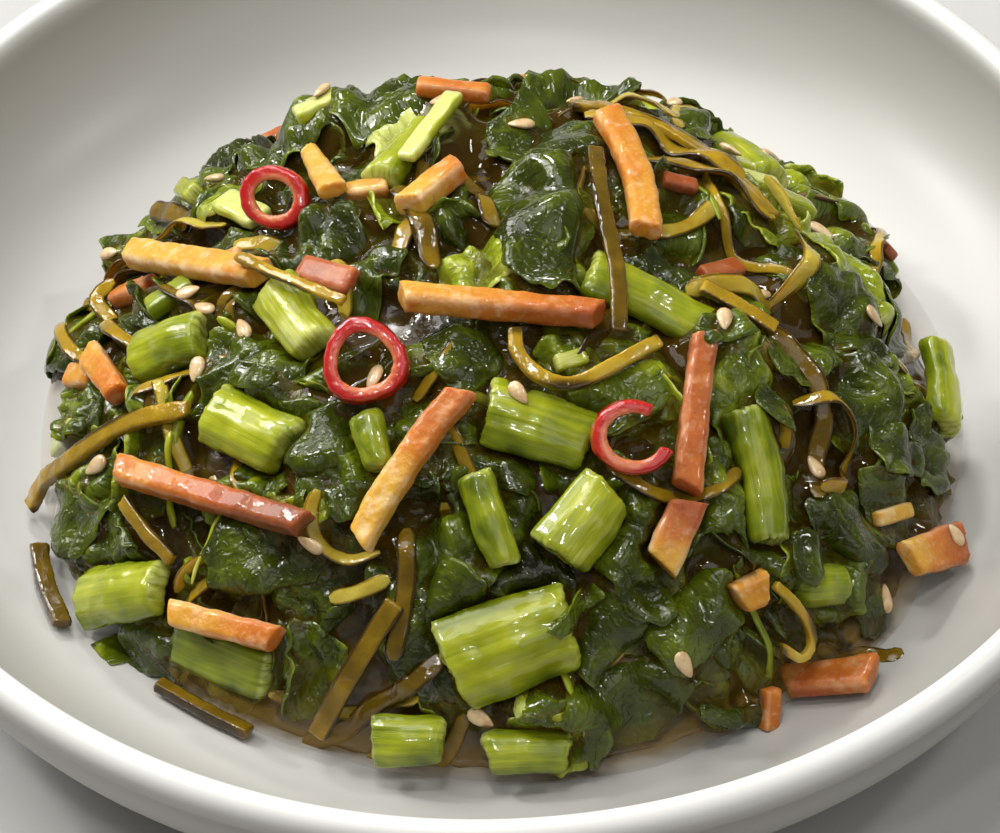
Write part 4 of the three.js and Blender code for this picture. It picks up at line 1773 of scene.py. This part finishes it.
@dataclass
class JuiceFilm(Layer):
    """Brown juice that fills the small gaps of the pile and stands in a thin pool round its foot."""

    radius: float = 1.5  # of the hollows' surface
    under: float = 0.28  # how far it stays below a full hollow
    pool_level: float = 0.4
    full_depth: float = 1.9  # from which it looks as dark as it can
    segments: int = 560
    rings: int = 140
    inset: float = 4.2  # of its edge from the mound's foot
    front: float = 2.6  # how much further it reaches there
    wander: float = 2.2  # how much its edge winds

    def build(self) -> bpy.types.Object:
        """Makes the film."""
        pile = self.pile
        top = pile.top
        level = pile.soften(pile.fill(pile.soften(top, 1), self.radius), 2) - self.under
        turns = np.linspace(0, 2 * math.pi, self.segments, endpoint=False)
        ring = np.stack([np.cos(turns), np.sin(turns)], axis=-1) * 30
        reach = self.dome.reach - self.inset + self.front * np.clip(-np.sin(turns), 0, 1)
        reach = reach + self.wander * Noise.at(ring, 14, 71) + 0.5 * Noise.at(ring, 5, 72)

        def height(a: Array, b: Array, share: Array) -> Array:
            """Level of the juice: down to the dish at its outer edge."""
            edge = np.sqrt(np.clip((1 - share) * 30, 0, 1))
            room = self.pool_level + 0.24 * (1 - share) * self.dome.reach
            inner = np.minimum(pile.sample(level, a, b), room) * np.clip((1 - share) * 12, 0, 1)
            return inner + self.pool_level * edge * (share > 0.85)

        low = self.dome.floor + 0.6
        points, faces, (a, b) = dome_skin(self.dome, reach, self.rings, height, low)
        depth = pile.sample(pile.soften(np.maximum(level - top, 0), 2), a, b).ravel()
        far = np.hypot(a, b)
        rest = (reach - far).ravel()  # way left to the pool's outer edge
        covered = smooth_step(pile.sample(top, a, b).ravel(), -2.9, -2.3)
        bare = smooth_step(far.ravel() - self.dome.reach, -7, -3) * (1 - covered)
        pale = 0.06 + 0.44 * smooth_step(rest, 0, 3.5)
        depth = bare * pale + (1 - bare) * (0.06 + 0.94 * np.clip(depth / self.full_depth, 0, 1))
        batch = MeshBatch("brown_juice")
        depth, bare = np.append(depth, [0.5, 1.0]), np.append(bare, [0, 0])
        batch.add(points, *faces, depth=depth, pool=bare)
        return finish_piece(batch.build(Juice().material()), "glaze")


# ---- What lies where ----


@dataclass
class Greens:
    """Everything in the dish, laid in order from the bottom to the top."""

    dome: Dome
    rng: np.random.Generator
    clear: float = 0.35  # how far what is laid later stays under the cut pieces
    back: float = 12.0  # past it, seeds are spread evenly
    back_seeds: int = 46
    reach: float = 58.0  # how far from the top they and the tossed sticks go

    named_leaves: tuple[LeafCut, ...] = leaf_cuts(
        (10.5, 12, 0, 9, 8, SMOOTH, 0.26, 1.4, 0, (1, -60, 1, -60)),
        (4.8, 15.5, 90, 15, 8.5, SMOOTH, 0.32, 2.4, 0.95, (0.4, 0, 3, 25), (0.3, -90, 1, -80)),
        (-0.5, -7.5, 20, 9, 8, PUCKERED, 0.78, 0.6, 0),
        (6.2, -2.5, -87, 21, 11, SMOOTH, 0.32, 2.4, 0.3, (2.4, 90, 1, -85), (2.6, -90, 1.2, -65)),
        (-17.8, -0.6, 12, 10.5, 8.5, PUCKERED, 0.28, 1.2, 0.4, (2.4, -70, 1, -60)),
        (-6.5, 14.5, 25, 11.5, 8, SMOOTH, 1, 2, 0, (2.5, 90, 1, -50)),
        (40.5, 4, -65, 17, 10, PUCKERED, 0.82, 1, 0, (2.4, 90, 1.2, -60)),
        (46.5, 3, -70, 10, 7, SMOOTH, 0.34, 0.8, 0),
        (-2.3, -19, -60, 9.5, 7.5, SMOOTH, 0.3, 0.5, 0),
        (-21.1, -45.2, 60, 12, 11, PUCKERED, 0.48, 0.6, 0, (1.5, 100, 0.9, 120)),
        (6, -52, 5, 11, 8, SMOOTH, 0.72, 0.4, 0),
        (14.8, -49.7, 25, 16, 10, SMOOTH, 0.36, 0.8, 0, (2.5, 80, 1.2, -60)),
        (42.9, -32.3, -75, 10, 8, SMOOTH, 0.3, 1, 0, (0.8, 90, 0.9, -100)),
        (36.5, -34.5, 10, 13, 10, PUCKERED, 0.62, 0.6, 0, (3, -90, 1, -60)),
        (-23.9, -34.4, -10, 15, 10, SMOOTH, 0.30, 0.4, 0),
        (-25.1, -15.6, -20, 15, 11, CRINKLED, 0.42, 0.8, 0, (3, -100, 1.1, -50)),
        (-22, -24.5, -15, 12, 9, CRINKLED, 0.36, 0.6, 0, (2, -80, 1.1, -60)),
        (40.5, -4.5, -40, 14, 10, CRINKLED, 0.34, 0.9, 0, (2, 60, 1, -70)),
        (41, -14.7, -70, 14, 10, SMOOTH, 0.34, 0.9, 0, (2.6, -80, 1, -80)),
        (-20, 20, 20, 14, 8, PUCKERED, 0.5, 2, 0, (1.5, 90, 1, -100)),
        (-9.5, 20, 5, 12, 9, CRINKLED, 0.36, 2.6, 0, (1.5, -80, 1, -70)),
        (-28, 13, 60, 7.5, 6.5, SMOOTH, 0.8, 1.2, 0),
        (-45.1, -19.2, -60, 13, 10, SMOOTH, 0.38, 0.7, 0, (1.8, 90, 1, -80)),
        (-38.8, -34.4, 20, 12, 9, PUCKERED, 0.5, 0.4, 0, (1.8, 90, 1, -70)),
        (49.1, -14.3, -75, 11, 7, CRINKLED, 0.34, 0.6, 0, (1.2, 80, 0.9, -80)),
        (34.5, -12.3, 50, 10, 8, SMOOTH, 0.4, 0.6, 0, (1, 70, 0.9, -70)),
        (16.8, -22.6, 30, 13, 9, PUCKERED, 0.5, 0.3, 0),
        (28, -20, -80, 16, 9, PUCKERED, 0.66, 0.5, 0, (2, 90, 1.3, -50)),
        (-3.8, -39.2, 20, 12, 9, CRINKLED, 0.36, 0.5, 0, (1.5, 80, 0.9, -90)),
        (27.4, -45.8, 15, 12, 12, SMOOTH, 0.36, 0.8, 0, (-2.5, 90, 1.9, 250)),
        (22.4, -42, 40, 13, 8, SMOOTH, 0.46, 0.8, 0, (1.5, 90, 1, -100)),
        (18, -35, 30, 13, 9, CRINKLED, 0.34, 0.6, 0, (2, 70, 1, -70)),
        (10.5, -31, -20, 10, 7, CRINKLED, 0.4, 0.5, 0, (1.5, -70, 1, -70)),
        (-13, -30, 70, 11, 7, CRINKLED, 0.38, 0.5, 0, (1.5, -70, 1, -70)),
        (45.4, -22.6, -60, 12, 9, SMOOTH, 0.34, 0.7, 0, (1.6, 90, 1, -80)),
        (40.1, -28.6, -20, 12, 8, SMOOTH, 0.3, 0.6, 0, (1.8, -80, 1, -90)),
        (45, -17.6, 30, 9, 7, PUCKERED, 0.4, 0.8, 0, (1.2, 70, 0.9, -70)),
        (11.9, -44.6, 35, 11, 8, SMOOTH, 0.3, 0.6, 0, (1.6, -80, 1, -70)),
        (16.2, -39.9, -40, 10, 7, SMOOTH, 0.38, 0.5, 0, (1.2, 90, 0.9, -90)),
        (-3.8, -42.6, 60, 9, 7, SMOOTH, 0.42, 0.4, 0, (1.2, 90, 0.9, -90)),
        (14.6, -23.4, 40, 11, 8, SMOOTH, 0.56, 0.8, 0, (1.4, 70, 0.9, -70)),
        (-16.2, -26.4, 10, 11, 8, SMOOTH, 0.3, 0.6, 0, (1.4, -90, 0.9, -80)),
        (7.5, -51.4, -10, 12, 8, SMOOTH, 0.4, 0.5, 0, (1.8, -90, 1, -60)),
        (-37.2, -36.3, -45, 12, 8, SMOOTH, 0.36, 0.4, 0, (1.6, 90, 1, -80)),
        (-46, -23.2, -60, 10, 7, SMOOTH, 0.34, 0.4, 0, (1.4, -90, 1, -80)),
        (-29.6, -42.8, -35, 10, 7, PUCKERED, 0.62, 0.2, 0),
    )
    top_leaves: tuple[LeafCut, ...] = leaf_cuts(
        (11.5, 26, 5, 13, 7, CRINKLED, 0.40, -0.5, 0, (1.6, 90, 1, -60)),
        (9, -43, 35, 8, 3.4, SMOOTH, 0.52, 0, 0, (0.5, 90, 0.8, 60)),
        (31.5, -20.8, -20, 6.5, 4, SMOOTH, 0.36, 0, 0, (0.6, 80, 0.8, 60)),
        (25, -14.5, 30, 6.5, 4, PUCKERED, 0.46, 0, 0),
        (34, -33.4, 60, 6.5, 4, SMOOTH, 0.34, 0, 0, (0.6, -80, 0.8, -60)),
        (-24.5, -17.2, -30, 6, 3.6, SMOOTH, 0.34, 0, 0, (0.5, 90, 0.8, 60)),
        free=True,
    )
    named_kelp: tuple[Strand, ...] = (
        Strand(((-21.3, -49), (-16.7, -49.8), (-13, -49), (-8.7, -48.1), (-4.9, -46.5)), 2.6, 0.3, 0.3, 20),
        Strand(((-14, -51.8), (-10.2, -53.4), (-5.5, -53.2), (-2.5, -50.6)), 2.2, 0.45, 0, 0, 0.2),
        Strand(((-41, 9), (-42.9, 7.8), (-41.5, 1.1), (-39.2, -3.5), (-37.3, -6.9)), 2.2, 0.62, 0.8, 30),
        Strand(((-43.5, 9.7), (-45.9, 11.5), (-46.5, 6.9), (-45.3, 0.7), (-43.2, -2.8)), 2, 0.62, 0.6, 30),
        Strand(((22.4, -9), (27.8, -7.1), (32, -6.4), (34.6, -2), (34.4, 4)), 2.6, 0.78, 1.2, -20, 0.7),
        Strand(((8, 21), (13.5, 22.5), (18.5, 21), (21, 18)), 2.4, 0.8, 2.8, 10, 0.6),
        Strand(((5, 26), (9.5, 29), (15, 28), (20, 23.5)), 2.6, 0.72, 3, 20, 0.5),
        Strand(((11.5, 18), (18, 17.5), (24, 13), (28.5, 10)), 2.9, 0.6, 2, -10, 0.6),
        Strand(((15, 13), (19.5, 11.5), (24.5, 10), (28.5, 8), (31.5, 4.5)), 3.2, 0.64, 1.4, 15, 0.6),
        Strand(((-8.2, -36.2), (-8.1, -39.2), (-8.7, -42.1), (-10, -46)), 2.4, 0.35, 0.6, 0, 0.3),
        Strand(
            ((-17.1, -31.4), (-18.1, -33.2), (-17.4, -35.8), (-14.8, -37.7), (-11.3, -37.7)),
            1.9, 0.8, 0.8, 40,
        ),
        Strand(((-17, -40.4), (-13.3, -40.5), (-10.1, -40)), 2, 0.85, 0.6, 0),
        Strand(((-36.5, 20), (-34.5, 16.5), (-32.5, 12)), 3, 0.34, 1.2, -25, 0.2),
        Strand(((-38, 16), (-33.5, 12.5), (-28.5, 7.5)), 1.9, 0.9, 0.9, 20, 0.4),
        Strand(((30.5, 11), (33, 8), (34.5, 4.5)), 2.2, 1.1, 1.2, 60, 0.3),
        Strand(((-9, 5), (-6.5, -1), (-5.5, -7)), 3.2, 0.35, 0.8, 20, 0.4),
        Strand(((13, -30.5), (18, -32.5), (23.5, -31.5), (27.5, -28)), 2, 0.5, 0.5, 20, 0.5),
        Strand(((31, -11.5), (35.5, -15.5), (37.5, -21.5), (36, -27.5)), 2.6, 0.35, 0.6, -30, 0.5),
        Strand(((34, -18.5), (38, -17), (40.5, -20), (39.5, -24.5), (36, -26.5)), 2.4, 0.6, 0.9, 40, 0.8),
        Strand(((37.5, -39), (41.5, -38), (45.5, -36.8)), 2.4, 0.4, 0.3, 0, 0.2),
        Strand(((-3, 8), (0, 3.5), (1.5, -3)), 2.6, 0.4, 0.8, 20, 0.4),
    )
    named_carrots: tuple[Stick, ...] = (
        Stick((27.3, -2.7), 41, (6.5, 2.4, 2), 0.78, rise=0.3),
        Stick((21.7, 7), 7, (4.4, 1.8, 1.6), 0.8, rise=0.6),
        Stick((-39.9, 7.1), -29, (6.8, 2.6, 2.2), 0.5, rise=0.3),
        Stick((-17.1, -6.1), -36, (7.9, 3.4, 2.2), 0.75),
        Stick((45.4, -23.7), 44, (5.9, 1.8, 1.6), 0.02),
        Stick((30.5, -45.4), -100, (4.8, 2, 1.8), 0.5, rise=0.6),
        Stick((-44.5, -3.5), -45, (5, 3, 2.6), 0.3, rise=0.6),
        Stick((-2.6, 19), -5, (8.5, 2.2, 2), 0.45, 10, 0, 2.2),
        Stick((13, -8), 30, (4.5, 2, 1.6), 0.7),
        Stick((-12.5, 5.5), 5, (4.8, 2.4, 1.8), 0.2, 10, 0, 0.8),
        Stick((-30, 2.5), -20, (8, 2.8, 2.2), 0.35, 10, 0, 0.2),
    )
    named_stalks: tuple[Stick, ...] = (
        Stick((9.5, -19.8), 23, (3.8, 2, 1.8), 0.8),
        Stick((-29.9, -40.7), -34, (12.7, 6, 3), 0.3, rise=-0.4),
        Stick((-47.6, -7.9), -43, (8.7, 3, 2.4), 0.75, rise=0.3),
        Stick((-26.5, 9), -55, (7.5, 3.6, 1.4), 1.1, rise=1.4),
        Stick((-5, 11.5), 59, (12, 2.4, 1.3), 1.05, 10, 6, 2.4),
        Stick((-17, 20.5), 20, (5.5, 3.5, 2.2), 0.95, 0, 4, 1.2),
        Stick((-31.8, 16.5), -72, (6, 2.4, 2), 0.7, 0, 0, 1.8),
        Stick((28, 17), 12, (6, 3, 2.2), 0.7, 0, 6, 1.8),
        Stick((31, 14.5), 15, (6, 2.6, 2), 0.85, 0, 6, 1.4),
        Stick((35, 13), 15, (6, 2.6, 2), 0.6, 0, 6, 1),
        Stick((29.6, -26.5), -80, (11, 2.6, 2), 0.4),
        Stick((-34.5, -0.5), 20, (6, 3, 2.2), 0.5, rise=0.2),
    )
    seeds: tuple[Pair, ...] = (
        (4.6, 15.5), (27, 14.5), (42.1, -3.7), (3.8, -24.3), (31.3, -5.3), (25.2, -13.6),
        (-42.4, -17), (-18.2, -35.7), (-0.8, -50.7), (49.5, -22.4), (44, -31.7), (20.2, -45.3),
        (36.5, -24.2), (-31.9, -2.5), (-30.2, -5.8), (-26.3, -10.1), (-31, -13.3), (-11.3, -21.6),
    )

    def build(self) -> None:
        """Makes everything in the dish."""
        rng, pile = self.rng, Pile(self.dome)
        HeapCore(pile).build()
        locator = Locator(pile)
        spots = [locator.find(copy.points) for copy in CutPieces().build()]
        for a, b, h in spots:
            pile.keep_under(a, b, h - self.clear)
        leaves = Leaves(pile)
        kelp, shoots = Strands(pile, 0.26), Strands(pile, 0.6)
        carrots, stalks, seeds = (Bits(pile) for _ in range(3))
        leaves.strew(74, 59, rng, (11, 16))
        kelp.strew(16, 55, rng, (12, 26), width=(1.8, 2.8), tone=(0.1, 0.6))
        shoots.strew(12, 55, rng, (8, 18), width=(1.2, 2.4), tone=(0.2, 0.6))
        leaves.strew(70, 60, rng, (9, 14))
        self._toss(stalks, 30, (4, 10), (1.8, 4.5), (0.25, 0.8))
        self._toss(carrots, 22, (4, 9), (1.8, 2.8), (0.1, 0.85))
        leaves.strew(24, 60, rng, (7, 11))
        kelp.strew(38, 57, rng, (8, 22), width=(1.4, 2.4), tone=(0.3, 0.85))
        shoots.strew(16, 57, rng, (6, 14), width=(0.8, 1.8), tone=(0.3, 0.8))
        for leaf in self.named_leaves:
            leaves.lay(leaf)
        for bits, sticks in ((stalks, self.named_stalks), (carrots, self.named_carrots)):
            for stick in sticks:
                bits.lay(stick)
        for strand in self.named_kelp:
            kelp.lay(strand)
        for a, b, h in spots:
            pile.drop(a, b, h)
        for leaf in self.top_leaves:
            leaves.lay(leaf)
        for spot in self.seeds:
            self._seed(seeds, spot)
        for i in range(self.back_seeds):
            far = self.reach * math.sqrt((i + 0.5) / self.back_seeds)
            spot = self.dome.spot(far, i * GOLDEN_TURN)
            if spot[1] > self.back:
                self._seed(seeds, spot)
        leaves.build()
        kelp.build("kelp_strands", "kelp", Kelp().material())
        stalk = Stalk().material()
        shoots.build("green_shoots", "stem", stalk)
        stalks.build("stalk_bits", "stem", stalk, Shape.BLOCK, 0.22)
        carrots.build("carrot_bits", "carrot", Carrot().material(), Shape.BLOCK, 0.16)
        seeds.build("sesame_seeds", "greens", Sesame().material(), Shape.SEED, 0.03)
        JuiceFilm(pile).build()

    def _toss(self, bits: Bits, count: int, *ranges: Pair) -> None:
        """Lays sticks on the back of the mound. The ranges are of their length, width and tone."""
        rng = self.rng
        for _ in range(count):
            turn = rng.uniform(0.16, 0.84) * math.pi
            far = min(rng.uniform(self.reach - 10, self.reach) / math.sin(turn) ** 0.5, self.reach)
            long, wide, tone = (rng.uniform(*pair) for pair in ranges)
            size = (long, wide, wide * rng.uniform(0.55, 0.9))
            heading, roll = rng.uniform(0, 360), rng.uniform(-20, 20)
            bits.lay(Stick(self.dome.spot(far, turn), heading, size, tone, roll))

    def _seed(self, seeds: Bits, spot: Pair) -> None:
        """Lays a sesame seed."""
        rng = self.rng
        size = (rng.uniform(3.0, 3.5), rng.uniform(1.9, 2.2), rng.uniform(1.0, 1.25))
        seeds.lay(Stick(spot, rng.uniform(0, 360), size, 0.5, rng.uniform(-15, 15), free=True), 0.3)


# ---- The studio ----


@dataclass(frozen=True)
class SoftBox:
    """A soft light. Metres and watts."""

    name: str
    at: Triple
    size: Pair
    power: float
    colour: Colour = (1.0, 0.985, 0.96)

    def place(self, target: Vector) -> None:
        """Makes the light and points it at the target."""
        data = bpy.data.lights.new(self.name, "AREA")
        data.shape = "RECTANGLE"
        data.size, data.size_y = self.size
        data.energy = self.power
        data.color = self.colour
        light = new_object(self.name, data)
        light.location = self.at
        light.rotation_euler = (target - light.location).to_track_quat("-Z", "Y").to_euler()


@dataclass(frozen=True)
class Studio:
    """Camera, soft lights and a pale table."""

    target: Triple = (0.001767, -0.01529, 0.026)
    distance: float = 0.65
    elevation: float = 46.96
    roll: float = -0.893
    lens: float = 212.65
    boxes: tuple[SoftBox, ...] = (
        SoftBox("key", (-0.85, 0.62, 0.75), (0.55, 0.55), 10.5),
        SoftBox("fill", (0.5, -0.7, 0.9), (0.8, 0.8), 2.6),
        SoftBox("top", (-0.3, 0.25, 1.1), (0.6, 0.6), 4.4),
        SoftBox("window_left", (-0.7, 0.3, 0.8), (0.1, 0.16), 3.6),
        SoftBox("window_back", (-0.2, 0.85, 0.85), (0.2, 0.13), 5),
        SoftBox("window_right", (0.66, 0.1, 0.88), (0.1, 0.12), 2.0),
        SoftBox("window_top", (-0.08, -0.05, 1.15), (0.12, 0.08), 2.2),
        SoftBox("window_front", (-0.15, -0.5, 1.0), (0.09, 0.06), 1.2),
    )
    world: float = 0.16
    world_colour: Colour = (1.0, 0.98, 0.93)
    table_width: float = 3.0

    def build(self) -> None:
        """Makes the studio."""
        scene = bpy.context.scene
        mesh = bpy.data.meshes.new("table")
        half = self.table_width / 2
        corners = [(-half, -half, 0), (half, -half, 0), (half, half, 0), (-half, half, 0)]
        mesh.from_pydata(corners, [], [(0, 1, 2, 3)])
        mesh.materials.append(Floor().material())
        table = new_object("table", mesh)
        for box in self.boxes:
            box.place(Vector((0, 0, 0.02)))
        world = bpy.data.worlds.new("studio")
        world.use_nodes = True
        glow = world.node_tree.nodes["Background"].inputs
        glow["Color"].default_value = (*self.world_colour, 1)
        glow["Strength"].default_value = self.world
        scene.world = world
        scene.view_settings.view_transform = "Standard"
        self._camera()

    def _camera(self) -> None:
        """Makes the camera."""
        tilt, roll = math.radians(self.elevation), math.radians(self.roll)
        right, up = Vector((1, 0, 0)), Vector((0, math.sin(tilt), math.cos(tilt)))
        back = Vector((0, -math.cos(tilt), math.sin(tilt)))
        x = right * math.cos(roll) + up * math.sin(roll)
        y = up * math.cos(roll) - right * math.sin(roll)
        data = bpy.data.cameras.new("camera")
        data.lens = self.lens
        data.sensor_width = 36
        camera = new_object("camera", data)
        rows = Matrix((x, y, back)).transposed().to_4x4()
        rows.translation = Vector(self.target) + back * self.distance
        camera.matrix_world = rows
        bpy.context.scene.camera = camera


def main() -> None:
    """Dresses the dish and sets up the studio."""
    logging.basicConfig(level=logging.INFO, format="%(message)s")
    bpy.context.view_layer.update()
    dome = Dome()
    DishShell(dome).build()
    Greens(dome, np.random.default_rng(7)).build()
    Studio().build()


if __name__ == "__main__":
    main()
